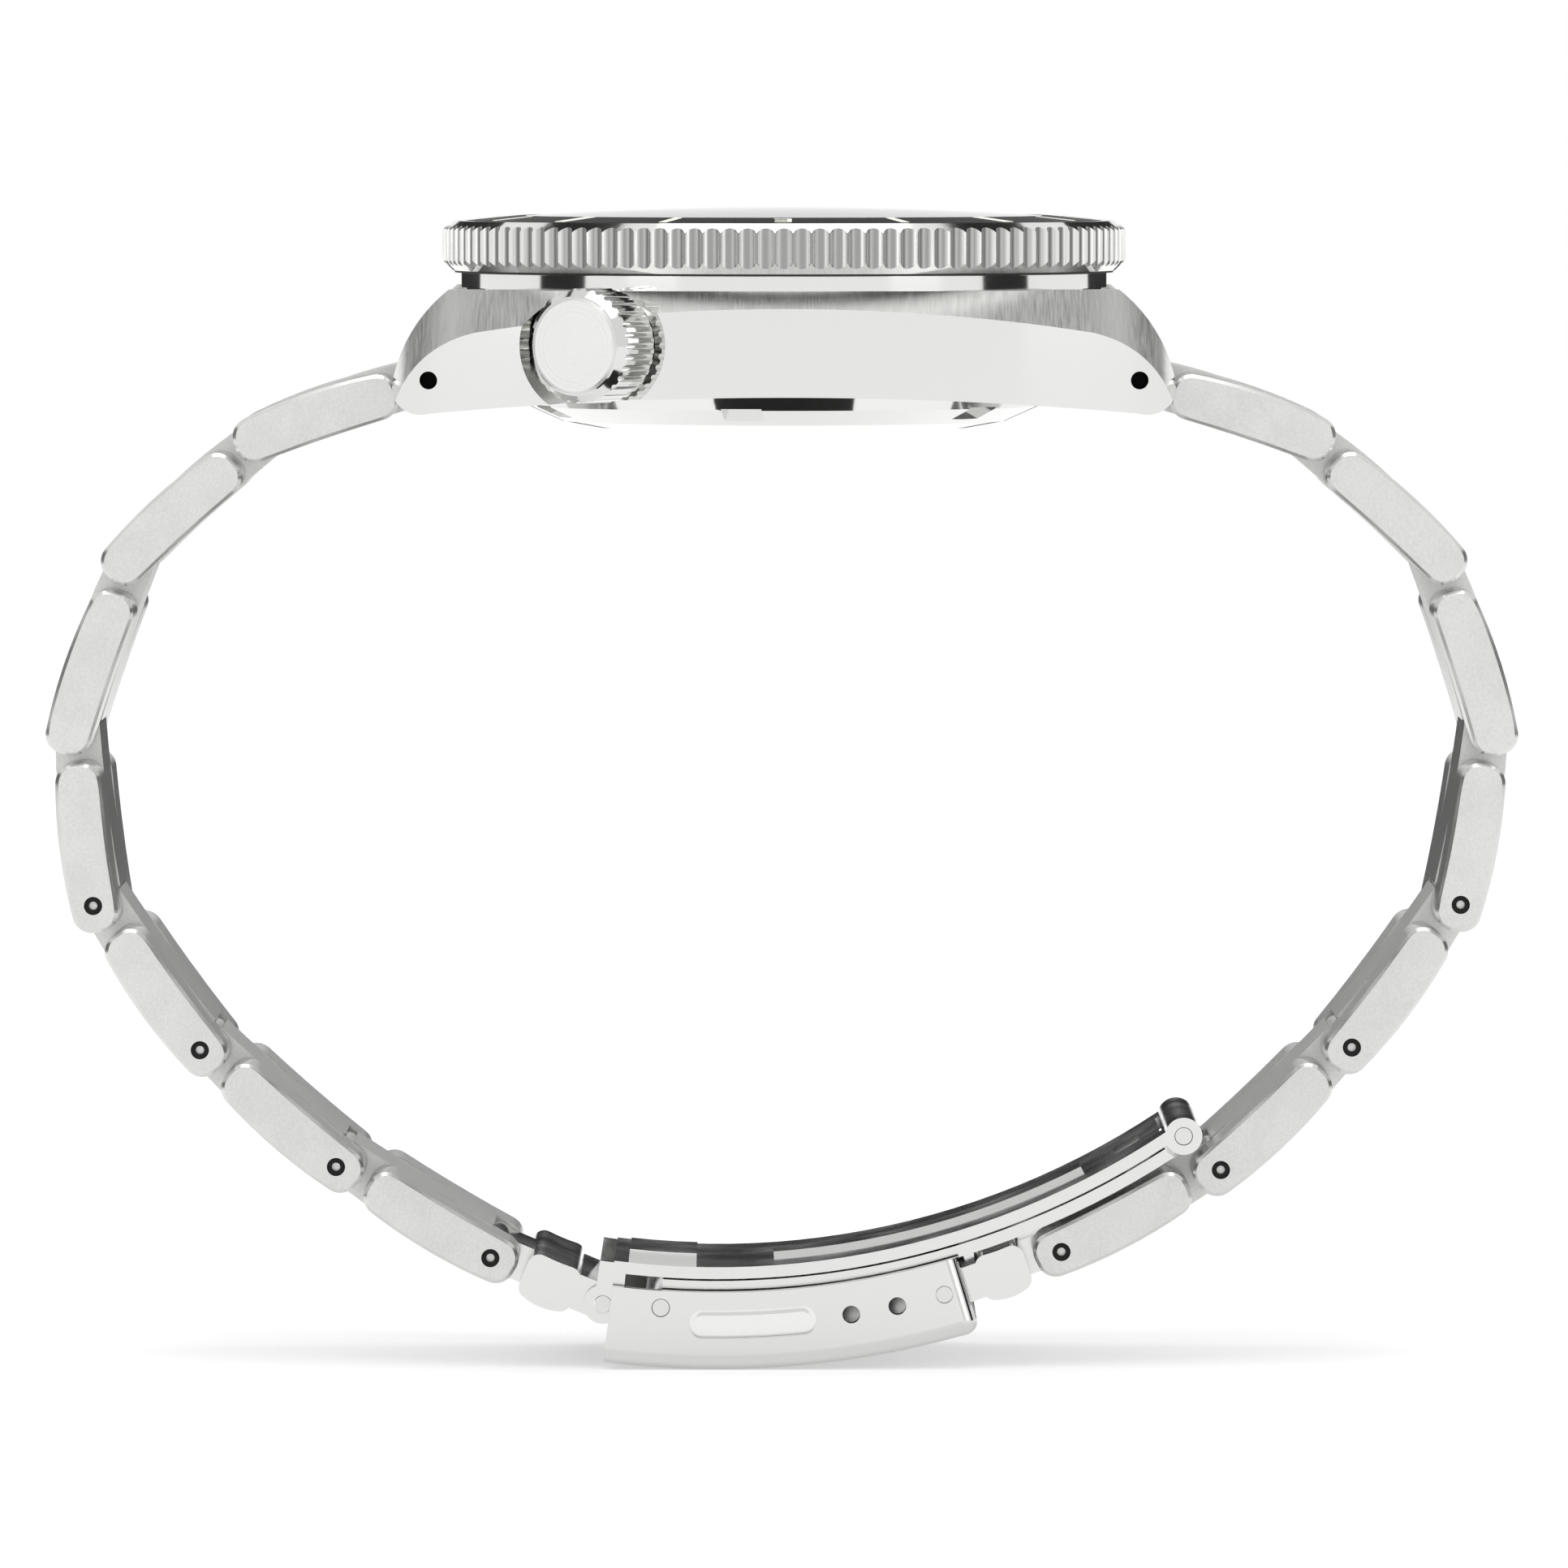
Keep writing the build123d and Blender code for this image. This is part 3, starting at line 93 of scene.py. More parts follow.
# 316L steel with a belt-brushed grain: fine lines that stretch each reflection across the grain.
# Real grain is 0.05 mm wide, too fine to show, so it is drawn two to three times as wide.
def brushedSteel(name, look):
    material = newMaterial(name)
    coords = addNode(material, "ShaderNodeTexCoord")
    grainSize = [1 / (size * mm) for size in look["grain"]]
    turned = addNode(material, "ShaderNodeMapping", {"Rotation": look.get("turn", (0, 0, 0))},
                     {"Vector": coords.outputs["Object"]})
    stretched = addNode(material, "ShaderNodeMapping", {"Scale": grainSize},
                        {"Vector": turned.outputs["Vector"]})
    lines = addNode(material, "ShaderNodeTexNoise", {"Scale": 1.0, "Detail": 4.0, "Roughness": 0.6},
                    {"Vector": stretched.outputs["Vector"]})
    tone = addNode(material, "ShaderNodeMapRange",
                   {**noiseRange, "To Min": look["dark"], "To Max": 1.0},
                   {"Value": lines.outputs["Fac"]})
    tint = addNode(material, "ShaderNodeMix", {"data_type": "RGBA", "blend_type": "MULTIPLY", 0: 1.0,
                                               6: hexColour(look["colour"])},
                   {7: tone.outputs["Result"]})
    rough = addNode(material, "ShaderNodeMapRange",
                    {**noiseRange, "To Min": look["rough"][0], "To Max": look["rough"][1]},
                    {"Value": lines.outputs["Fac"]})
    relief = addNode(material, "ShaderNodeBump", {"Strength": look["bump"], "Distance": reliefDepth},
                     {"Height": lines.outputs["Fac"]})
    shader = addNode(material, "ShaderNodeBsdfPrincipled", {"Metallic": 1.0},
                     {"Base Color": tint.outputs[2], "Roughness": rough.outputs["Result"],
                      "Normal": relief.outputs["Normal"]})
    addNode(material, "ShaderNodeOutputMaterial", None, {"Surface": shader.outputs["BSDF"]})
    return material


# 316L links: lines brushed along the bracelet's top and bottom, and a fine blasted look on their sides.
# The blasted pits are really 0.05 mm across, and are drawn at three times that so that they show.
def linkSteel(name):
    look = {"colour": "d8d8d6", "lines": (0.12, 2.5, 2.5), "pit": 0.15, "cloud": 2.2,
            "sideFrom": (0.75, 0.9), "grainTone": 0.90, "cloudRange": (0.35, 0.65), "cloudTone": 0.95,
            "lineRough": 0.24, "pitRough": 0.40, "bump": 0.10}
    material = newMaterial(name)
    coords = addNode(material, "ShaderNodeTexCoord")
    lineSize = [1 / (size * mm) for size in look["lines"]]
    stretched = addNode(material, "ShaderNodeMapping", {"Scale": lineSize},
                        {"Vector": coords.outputs["Object"]})
    lines = addNode(material, "ShaderNodeTexNoise", {"Scale": 1.0, "Detail": 4.0, "Roughness": 0.6},
                    {"Vector": stretched.outputs["Vector"]})
    pits = addNode(material, "ShaderNodeTexNoise", {"Scale": 1 / (look["pit"] * mm), "Detail": 2.0},
                   {"Vector": coords.outputs["Object"]})
    cloud = addNode(material, "ShaderNodeTexNoise", {"Scale": 1 / (look["cloud"] * mm), "Detail": 2.0},
                    {"Vector": coords.outputs["Object"]})
    facing = addNode(material, "ShaderNodeSeparateXYZ", None, {"Vector": coords.outputs["Normal"]})
    sideways = addNode(material, "ShaderNodeMath", {"operation": "ABSOLUTE"}, {0: facing.outputs["X"]})
    side = addNode(material, "ShaderNodeMapRange",
                   {"From Min": look["sideFrom"][0], "From Max": look["sideFrom"][1]},
                   {"Value": sideways.outputs["Value"]})
    grain = addNode(material, "ShaderNodeMix", {"data_type": "FLOAT"},
                    {0: side.outputs["Result"], 2: lines.outputs["Fac"], 3: pits.outputs["Fac"]})
    tone = addNode(material, "ShaderNodeMapRange",
                   {**noiseRange, "To Min": look["grainTone"], "To Max": 1.0},
                   {"Value": grain.outputs[0]})
    shade = addNode(material, "ShaderNodeMapRange",
                    {"From Min": look["cloudRange"][0], "From Max": look["cloudRange"][1],
                     "To Min": look["cloudTone"], "To Max": 1.0},
                    {"Value": cloud.outputs["Fac"]})
    both = addNode(material, "ShaderNodeMath", {"operation": "MULTIPLY"},
                   {0: tone.outputs["Result"], 1: shade.outputs["Result"]})
    tint = addNode(material, "ShaderNodeMix", {"data_type": "RGBA", "blend_type": "MULTIPLY", 0: 1.0,
                                               6: hexColour(look["colour"])}, {7: both.outputs["Value"]})
    rough = addNode(material, "ShaderNodeMix",
                    {"data_type": "FLOAT", 2: look["lineRough"], 3: look["pitRough"]},
                    {0: side.outputs["Result"]})
    relief = addNode(material, "ShaderNodeBump", {"Strength": look["bump"], "Distance": reliefDepth},
                     {"Height": grain.outputs[0]})
    shader = addNode(material, "ShaderNodeBsdfPrincipled", {"Metallic": 1.0},
                     {"Base Color": tint.outputs[2], "Roughness": rough.outputs[0],
                      "Normal": relief.outputs["Normal"]})
    addNode(material, "ShaderNodeOutputMaterial", None, {"Surface": shader.outputs["BSDF"]})
    return material


# 316L steel, buffed on a felt wheel: mirror reflections with a faint, cloudy haze of handling marks
def polishedSteel(name, look):
    material = newMaterial(name)
    coords = addNode(material, "ShaderNodeTexCoord")
    haze = addNode(material, "ShaderNodeTexNoise", {"Scale": 1 / (look["haze"] * mm), "Detail": 5.0},
                   {"Vector": coords.outputs["Object"]})
    rough = addNode(material, "ShaderNodeMapRange",
                    {**hazeRange, "To Min": look["rough"][0], "To Max": look["rough"][1]},
                    {"Value": haze.outputs["Fac"]})
    shader = addNode(material, "ShaderNodeBsdfPrincipled",
                     {"Metallic": 1.0, "Base Color": hexColour(look["colour"])},
                     {"Roughness": rough.outputs["Result"]})
    addNode(material, "ShaderNodeOutputMaterial", None, {"Surface": shader.outputs["BSDF"]})
    return material


# a coated, moulded or painted skin: even colour with a slight mottle, and a fine orange-peel relief
def paintedSkin(name, look):
    material = newMaterial(name)
    coords = addNode(material, "ShaderNodeTexCoord")
    speck = addNode(material, "ShaderNodeTexNoise", {"Scale": 1 / (look["speck"] * mm), "Detail": 3.0},
                    {"Vector": coords.outputs["Object"]})
    tint = addNode(material, "ShaderNodeMix",
                   {"data_type": "RGBA", 6: hexColour(look["colours"][0]), 7: hexColour(look["colours"][1])},
                   {0: speck.outputs["Fac"]})
    relief = addNode(material, "ShaderNodeBump", {"Strength": look["bump"], "Distance": reliefDepth},
                     {"Height": speck.outputs["Fac"]})
    shader = addNode(material, "ShaderNodeBsdfPrincipled",
                     {"Metallic": look.get("metallic", 0.0), "Roughness": look["rough"]},
                     {"Base Color": tint.outputs[2], "Normal": relief.outputs["Normal"]})
    addNode(material, "ShaderNodeOutputMaterial", None, {"Surface": shader.outputs["BSDF"]})
    return material


# 316L case: brushed along the sloping shoulders, polished on the flanks, the underside and in the pocket
def caseSteel(name):
    look = {"colour": "e4e4e2", "grain": (2.5, 0.10, 2.5), "satinRough": (0.28, 0.42),
            "satinTone": (0.72, 0.9), "bump": 0.35, "polishRough": 0.075, "shoulder": (0.25, 0.5),
            "neckTop": 9.15}
    material = newMaterial(name)
    coords = addNode(material, "ShaderNodeTexCoord")
    # the grain runs down the slope, from the neck to the flank, in rows 0.1 mm apart
    grainSize = [1 / (size * mm) for size in look["grain"]]
    stretched = addNode(material, "ShaderNodeMapping", {"Scale": grainSize},
                        {"Vector": coords.outputs["Object"]})
    grain = addNode(material, "ShaderNodeTexNoise", {"Scale": 1.0, "Detail": 4.0, "Roughness": 0.7},
                    {"Vector": stretched.outputs["Vector"]})
    facing = addNode(material, "ShaderNodeSeparateXYZ", None, {"Vector": coords.outputs["Normal"]})
    place = addNode(material, "ShaderNodeSeparateXYZ", None, {"Vector": coords.outputs["Object"]})
    slope = addNode(material, "ShaderNodeMapRange",
                    {"From Min": look["shoulder"][0], "From Max": look["shoulder"][1]},
                    {"Value": facing.outputs["Z"]})
    underNeck = addNode(material, "ShaderNodeMath", {"operation": "LESS_THAN", 1: look["neckTop"] * mm},
                        {0: place.outputs["Z"]})
    satin = addNode(material, "ShaderNodeMath", {"operation": "MULTIPLY"},
                    {0: slope.outputs["Result"], 1: underNeck.outputs["Value"]})
    satinRough = addNode(material, "ShaderNodeMapRange",
                         {**noiseRange, "To Min": look["satinRough"][0], "To Max": look["satinRough"][1]},
                         {"Value": grain.outputs["Fac"]})
    rough = addNode(material, "ShaderNodeMix", {"data_type": "FLOAT", 2: look["polishRough"]},
                    {0: satin.outputs["Value"], 3: satinRough.outputs["Result"]})
    tone = addNode(material, "ShaderNodeMapRange",
                   {**noiseRange, "To Min": look["satinTone"][0], "To Max": look["satinTone"][1]},
                   {"Value": grain.outputs["Fac"]})
    satinTone = addNode(material, "ShaderNodeMix", {"data_type": "FLOAT", 2: 1.0},
                        {0: satin.outputs["Value"], 3: tone.outputs["Result"]})
    tint = addNode(material, "ShaderNodeMix", {"data_type": "RGBA", "blend_type": "MULTIPLY", 0: 1.0,
                                               6: hexColour(look["colour"])}, {7: satinTone.outputs[0]})
    height = addNode(material, "ShaderNodeMath", {"operation": "MULTIPLY"},
                     {0: grain.outputs["Fac"], 1: satin.outputs["Value"]})
    relief = addNode(material, "ShaderNodeBump", {"Strength": look["bump"], "Distance": reliefDepth},
                     {"Height": height.outputs["Value"]})
    shader = addNode(material, "ShaderNodeBsdfPrincipled", {"Metallic": 1.0},
                     {"Base Color": tint.outputs[2], "Roughness": rough.outputs[0],
                      "Normal": relief.outputs["Normal"]})
    addNode(material, "ShaderNodeOutputMaterial", None, {"Surface": shader.outputs["BSDF"]})
    return material


# 316L bezel: polished lands, and milled grooves that stay matt because the wheel can't reach them; the
#             grooves' colour is also darkened, as painted shade in the recesses
def bezelSteel(name):
    look = {"colour": "e2e2e0", "grooveShadeTone": 0.42, "grooveDepth": 0.14, "grooveRough": 0.35, "upright": 0.4,
            "haze": 3.0, "rough": (0.06, 0.11)}
    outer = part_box("bezel_ring")[1][0]
    material = newMaterial(name)
    coords = addNode(material, "ShaderNodeTexCoord")
    place = addNode(material, "ShaderNodeSeparateXYZ", None, {"Vector": coords.outputs["Object"]})
    across = addNode(material, "ShaderNodeCombineXYZ", None,
                     {"X": place.outputs["X"], "Y": place.outputs["Y"]})
    radius = addNode(material, "ShaderNodeVectorMath", {"operation": "LENGTH"},
                     {0: across.outputs["Vector"]})
    deep = addNode(material, "ShaderNodeMapRange",
                   {"From Min": outer - look["grooveDepth"] * mm,
                    "From Max": outer - 2 * look["grooveDepth"] * mm},
                   {"Value": radius.outputs["Value"]})
    facing = addNode(material, "ShaderNodeSeparateXYZ", None, {"Vector": coords.outputs["Normal"]})
    level = addNode(material, "ShaderNodeMath", {"operation": "ABSOLUTE"}, {0: facing.outputs["Z"]})
    upright = addNode(material, "ShaderNodeMath", {"operation": "LESS_THAN", 1: look["upright"]},
                      {0: level.outputs["Value"]})
    groove = addNode(material, "ShaderNodeMath", {"operation": "MULTIPLY"},
                     {0: deep.outputs["Result"], 1: upright.outputs["Value"]})
    haze = addNode(material, "ShaderNodeTexNoise", {"Scale": 1 / (look["haze"] * mm), "Detail": 5.0},
                   {"Vector": coords.outputs["Object"]})
    # the grooves' colour is darkened here: painted shade in the recesses
    tone = addNode(material, "ShaderNodeMapRange", {"To Min": 1.0, "To Max": look["grooveShadeTone"]},
                   {"Value": groove.outputs["Value"]})
    tint = addNode(material, "ShaderNodeMix", {"data_type": "RGBA", "blend_type": "MULTIPLY", 0: 1.0,
                                               6: hexColour(look["colour"])}, {7: tone.outputs["Result"]})
    polish = addNode(material, "ShaderNodeMapRange",
                     {**hazeRange, "To Min": look["rough"][0], "To Max": look["rough"][1]},
                     {"Value": haze.outputs["Fac"]})
    rough = addNode(material, "ShaderNodeMix", {"data_type": "FLOAT", 3: look["grooveRough"]},
                    {0: groove.outputs["Value"], 2: polish.outputs["Result"]})
    shader = addNode(material, "ShaderNodeBsdfPrincipled", {"Metallic": 1.0},
                     {"Base Color": tint.outputs[2], "Roughness": rough.outputs[0]})
    addNode(material, "ShaderNodeOutputMaterial", None, {"Surface": shader.outputs["BSDF"]})
    return material


# 316L crown: a lathe-turned face with rings 0.15 mm apart round its axis, polished knurling behind it
def crownSteel(name):
    look = {"colour": "d2d2d0", "ring": 0.15, "faceAngle": -30.0, "faceFrom": 24.3,
            "faceRough": (0.26, 0.42), "knurlRough": 0.09, "bump": 0.3}
    crownLow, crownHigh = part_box("crown")
    axisHeight = (crownLow[2] + crownHigh[2]) / 2
    material = newMaterial(name)
    coords = addNode(material, "ShaderNodeTexCoord")
    # turned so that x runs along the crown, then moved so that the axis is at zero
    turned = addNode(material, "ShaderNodeMapping",
                     {"Rotation": (0, 0, math.radians(-look["faceAngle"]))},
                     {"Vector": coords.outputs["Object"]})
    centred = addNode(material, "ShaderNodeMapping", {"Location": (0, 0, -axisHeight)},
                      {"Vector": turned.outputs["Vector"]})
    along = addNode(material, "ShaderNodeSeparateXYZ", None, {"Vector": centred.outputs["Vector"]})
    across = addNode(material, "ShaderNodeCombineXYZ", None,
                     {"Y": along.outputs["Y"], "Z": along.outputs["Z"]})
    radius = addNode(material, "ShaderNodeVectorMath", {"operation": "LENGTH"},
                     {0: across.outputs["Vector"]})
    rings = addNode(material, "ShaderNodeTexNoise",
                    {"noise_dimensions": "1D", "Scale": 1 / (look["ring"] * mm), "Detail": 3.0},
                    {"W": radius.outputs["Value"]})
    face = addNode(material, "ShaderNodeMath", {"operation": "GREATER_THAN", 1: look["faceFrom"] * mm},
                   {0: along.outputs["X"]})
    ringRough = addNode(material, "ShaderNodeMapRange",
                        {**noiseRange, "To Min": look["faceRough"][0], "To Max": look["faceRough"][1]},
                        {"Value": rings.outputs["Fac"]})
    rough = addNode(material, "ShaderNodeMix", {"data_type": "FLOAT", 2: look["knurlRough"]},
                    {0: face.outputs["Value"], 3: ringRough.outputs["Result"]})
    height = addNode(material, "ShaderNodeMath", {"operation": "MULTIPLY"},
                     {0: rings.outputs["Fac"], 1: face.outputs["Value"]})
    relief = addNode(material, "ShaderNodeBump", {"Strength": look["bump"], "Distance": reliefDepth},
                     {"Height": height.outputs["Value"]})
    shader = addNode(material, "ShaderNodeBsdfPrincipled",
                     {"Metallic": 1.0, "Base Color": hexColour(look["colour"])},
                     {"Roughness": rough.outputs[0], "Normal": relief.outputs["Normal"]})
    addNode(material, "ShaderNodeOutputMaterial", None, {"Surface": shader.outputs["BSDF"]})
    return material


# mineral glass, polished: clear, with bright edge reflections
def clearGlass(name):
    look = {"colour": "f7fbfa", "ior": 1.52, "smear": 6.0, "smearRange": (0.4, 0.8), "rough": 0.03}
    material = newMaterial(name)
    coords = addNode(material, "ShaderNodeTexCoord")
    smear = addNode(material, "ShaderNodeTexNoise", {"Scale": 1 / (look["smear"] * mm), "Detail": 3.0},
                    {"Vector": coords.outputs["Object"]})
    rough = addNode(material, "ShaderNodeMapRange",
                    {"From Min": look["smearRange"][0], "From Max": look["smearRange"][1],
                     "To Min": 0.0, "To Max": look["rough"]},
                    {"Value": smear.outputs["Fac"]})
    shader = addNode(material, "ShaderNodeBsdfPrincipled",
                     {"Base Color": hexColour(look["colour"]), "IOR": look["ior"],
                      "Transmission Weight": 1.0},
                     {"Roughness": rough.outputs["Result"]})
    addNode(material, "ShaderNodeOutputMaterial", None, {"Surface": shader.outputs["BSDF"]})
    return material


finishes = {
    "case_steel": caseSteel("caseSteelBrushedAndPolished"),
    "link_steel": linkSteel("linkSteelSatin"),
    "crystal_glass": clearGlass("mineralGlassPolished"),
    "polished_steel": polishedSteel("steelBuffed", {
        "colour": "dededc", "haze": 4.0, "rough": (0.05, 0.10)}),
    "clasp_steel": polishedSteel("claspSteelBuffed", {
        "colour": "d2d2d1", "haze": 5.0, "rough": (0.07, 0.13)}),
    "spring_steel": polishedSteel("pinSteelHardened", {
        "colour": "cfcfce", "haze": 1.5, "rough": (0.10, 0.2)}),
    "black_insert": paintedSkin("insertAluminiumAnodised", {
        "colours": ("08080a", "101012"), "speck": 0.15, "rough": 0.38, "bump": 0.1, "metallic": 0.3}),
    "dial_black": paintedSkin("dialLacquerMatt", {
        "colours": ("060608", "0c0c0e"), "speck": 0.2, "rough": 0.5, "bump": 0.08}),
    "lume": paintedSkin("lumePaintCast", {
        "colours": ("d6dcc8", "e6ead8"), "speck": 0.2, "rough": 0.6, "bump": 0.2}),
    "gasket_rubber": paintedSkin("gasketNitrileMoulded", {
        "colours": ("0d0d0d", "161616"), "speck": 0.3, "rough": 0.6, "bump": 0.15}),
    "holder_plastic": paintedSkin("holderNylonMoulded", {
        "colours": ("c4c4bf", "d6d6d0"), "speck": 0.6, "rough": 0.5, "bump": 0.1}),
    "date_white": paintedSkin("dateDiscEnamelled", {
        "colours": ("e6e6e2", "f2f2ee"), "speck": 0.3, "rough": 0.35, "bump": 0.05}),
    "movement_plate": brushedSteel("bridgeBrassNickelPlated", {
        "colour": "cfcdc6", "grain": (0.12, 3.0, 3.0), "dark": 0.85, "rough": (0.2, 0.36), "bump": 0.1,
        "turn": (0, 0, math.radians(20))}),
    "movement_brass": brushedSteel("wheelBrassGilt", {
        "colour": "d9b46c", "grain": (0.12, 2.0, 2.0), "dark": 0.85, "rough": (0.2, 0.34), "bump": 0.1}),
}
slotOfNode = {entry["node"]: entry["material_slot"] for entry in record["subparts"]}
for node, piece in frame["nodes"].items():
    piece.data.materials.clear()
    piece.data.materials.append(finishes[slotOfNode[node]])
frame["nodes"]["crown"].data.materials[0] = crownSteel("crownSteelTurned")
frame["nodes"]["bezel_ring"].data.materials[0] = bezelSteel("bezelSteelMilled")
# the lugs' spring bars are given a flat black colour, painted shade so that their tips stay dark in the lug
# holes
holeShadePaint = paintedSkin("barHoleShadeBlack", {
    "colours": ("060606", "0e0e0e"), "speck": 0.3, "rough": 0.7, "bump": 0.1, "metallic": 0.4})
frame["nodes"]["lug_spring_bars"].data.materials[0] = holeShadePaint
for node in ("hour_hand", "minute_hand", "second_hand"):
    frame["nodes"][node].data.materials[0] = finishes["polished_steel"]
print("stage: finishes on the CAD nodes")

markPaint = paintedSkin("markLumeScreenPrinted", {
    "colours": ("d9ddd0", "eceee6"), "speck": 0.2, "rough": 0.6, "bump": 0.15})
datePaint = paintedSkin("dateInkPadPrinted", {
    "colours": ("0a0a0c", "141416"), "speck": 0.2, "rough": 0.5, "bump": 0.05})
printing = {"barBevel": 0.2, "curveSteps": 4}  # the bevel is a share of the bar's height
roundSides = {"large": 180, "small": 32}


# a bevelled bar that lies along Y with its middle at the origin; taper narrows or widens its outer end
def makeBar(name, length, width, height, taper=1.0):
    bpy.ops.object.select_all(action="DESELECT")
    bpy.ops.mesh.primitive_cube_add(size=1, location=(0, 0, 0))
    bar = bpy.context.object
    bar.name = name
    bar.data.transform(Matrix.Diagonal((width * mm, length * mm, height * mm, 1)))
    for corner in bar.data.vertices:
        if corner.co.y > 0:
            corner.co.x *= taper
    bpy.ops.object.mode_set(mode="EDIT")
    bpy.ops.mesh.select_all(action="SELECT")
    bpy.ops.mesh.bevel(offset=printing["barBevel"] * height * mm, segments=1)
    bpy.ops.object.mode_set(mode="OBJECT")
    return bar


# letters or digits as a thin printed layer, its middle at the origin and its top towards Y
def makeLetters(name, words, size, thickness):
    bpy.ops.object.select_all(action="DESELECT")
    bpy.ops.object.text_add(location=(0, 0, 0))
    letters = bpy.context.object
    letters.name = name
    letters.data.body = words
    letters.data.size = size * mm
    letters.data.align_x = "CENTER"
    letters.data.align_y = "CENTER"
    letters.data.extrude = thickness * mm / 2
    letters.data.resolution_u = printing["curveSteps"]
    bpy.ops.object.convert(target="MESH")
    return bpy.context.object


# copies a shape to each angle round the watch, with 0 at 3 o'clock, and removes the first one
def ringOf(shape, angles, place):
    copies = []
    for angle in angles:
        twin = shape.copy()
        twin.data = shape.data.copy()
        bpy.context.collection.objects.link(twin)
        twin.data.transform(Matrix.Rotation(math.radians(angle - 90), 4, "Z") @ place)
        copies.append(twin)
    bpy.data.objects.remove(shape)
    return copies


# joins pieces into one and gives it its finish and the body that it rides on
def joinPieces(name, pieces, material, body):
    bpy.ops.object.select_all(action="DESELECT")
    for piece in pieces:
        piece.select_set(True)
    bpy.context.view_layer.objects.active = pieces[0]
    if len(pieces) > 1:
        bpy.ops.object.join()
    whole = bpy.context.object
    whole.name = name
    whole.data.materials.clear()
    whole.data.materials.append(material)
    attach(whole, body)
    return whole


# a flat ring with its axis along Z: a circle, extruded outwards, then given its thickness downwards
def makeRing(name, inner, outer, high, low, thickness, sides):
    bpy.ops.object.select_all(action="DESELECT")
    bpy.ops.mesh.primitive_circle_add(vertices=sides, radius=inner * mm, location=(0, 0, 0))
    ring = bpy.context.object
    ring.name = name
    bpy.ops.object.mode_set(mode="EDIT")
    bpy.ops.mesh.select_all(action="SELECT")
    bpy.ops.mesh.extrude_edges_move()
    bpy.ops.transform.resize(value=(outer / inner, outer / inner, 1))
    bpy.ops.transform.translate(value=(0, 0, (low - high) * mm))
    bpy.ops.mesh.select_all(action="SELECT")
    bpy.ops.mesh.normals_make_consistent(inside=False)
    bpy.ops.object.mode_set(mode="OBJECT")
    if ring.data.polygons[0].normal.z < 0:
        ring.data.flip_normals()
    ring.data.transform(Matrix.Translation((0, 0, high * mm)))
    ring.modifiers.new("thickness", "SOLIDIFY").thickness = thickness * mm
    bpy.ops.object.modifier_apply(modifier="thickness")
    bpy.ops.object.shade_smooth_by_angle(angle=smoothAngle)
    return ring


# the insert is a shallow cone that stands in for the plain one, with its face just clear of the bezel's lip
insertMarks = {"innerRadius": 15.86, "fall": 0.30, "lift": 0.16, "edge": 0.02, "thickness": 0.35,
               "middle": 17.35, "layer": 0.06, "tick": (2.4, 0.5), "longTick": (2.6, 0.8), "letterSize": 2.6}
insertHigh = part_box("bezel_insert")[1]
insertOuter = insertHigh[0] / mm - insertMarks["edge"]
insertTop = insertHigh[2] / mm + insertMarks["lift"]
insertFace = makeRing("insertFace", insertMarks["innerRadius"], insertOuter, insertTop,
                      insertTop - insertMarks["fall"], insertMarks["thickness"], roundSides["large"])
joinPieces("insertFace", [insertFace], finishes["black_insert"], "bezel")
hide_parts("bezel_insert")
insertSlope = math.atan(insertMarks["fall"] / (insertOuter - insertMarks["innerRadius"]))
markHeight = (insertTop - (insertMarks["middle"] - insertMarks["innerRadius"]) * math.tan(insertSlope)) * mm
insertPlace = (Matrix.Translation((0, insertMarks["middle"] * mm, markHeight))
               @ Matrix.Rotation(-insertSlope, 4, "X"))
marks = ringOf(makeBar("shortTick", *insertMarks["tick"], insertMarks["layer"]),
               [22.5 * i for i in range(16) if i % 2], insertPlace)
marks += ringOf(makeBar("longTick", *insertMarks["longTick"], insertMarks["layer"]),
                [45 + 90 * i for i in range(4)], insertPlace)
for turn, letter in enumerate("ENWS"):
    marks += ringOf(makeLetters("letter" + letter, letter, insertMarks["letterSize"], insertMarks["layer"]),
                    [90 * turn], insertPlace)
joinPieces("insertMarks", marks, markPaint, "bezel")

dialMarks = {"radius": 13.1, "minute": (0.7, 0.12), "fifth": (0.8, 0.3), "layer": 0.03}
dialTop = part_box("dial")[1][2]
trackPlace = Matrix.Translation((0, dialMarks["radius"] * mm, dialTop))
track = ringOf(makeBar("minuteTick", *dialMarks["minute"], dialMarks["layer"]),
               [6 * i for i in range(60) if i % 5], trackPlace)
track += ringOf(makeBar("fifthTick", *dialMarks["fifth"], dialMarks["layer"]), [30 * i for i in range(12)],
                trackPlace)
joinPieces("minuteTrack", track, markPaint, "case")

# numbers 1 to 31 stand on the date disc, with today's in the window at 3 o'clock
dateNumbers = {"days": 31, "radius": 11.2, "size": 1.7, "layer": 0.02, "today": 8}
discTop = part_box("date_disc")[1][2]
datePlace = (Matrix.Translation((0, dateNumbers["radius"] * mm, discTop))
             @ Matrix.Rotation(math.pi / 2, 4, "Z"))
numbers = []
for day in range(1, dateNumbers["days"] + 1):
    numbers += ringOf(makeLetters(f"day{day}", str(day), dateNumbers["size"], dateNumbers["layer"]),
                      [(day - dateNumbers["today"]) * 360 / dateNumbers["days"]], datePlace)
joinPieces("dateNumbers", numbers, datePaint, "date_disc")

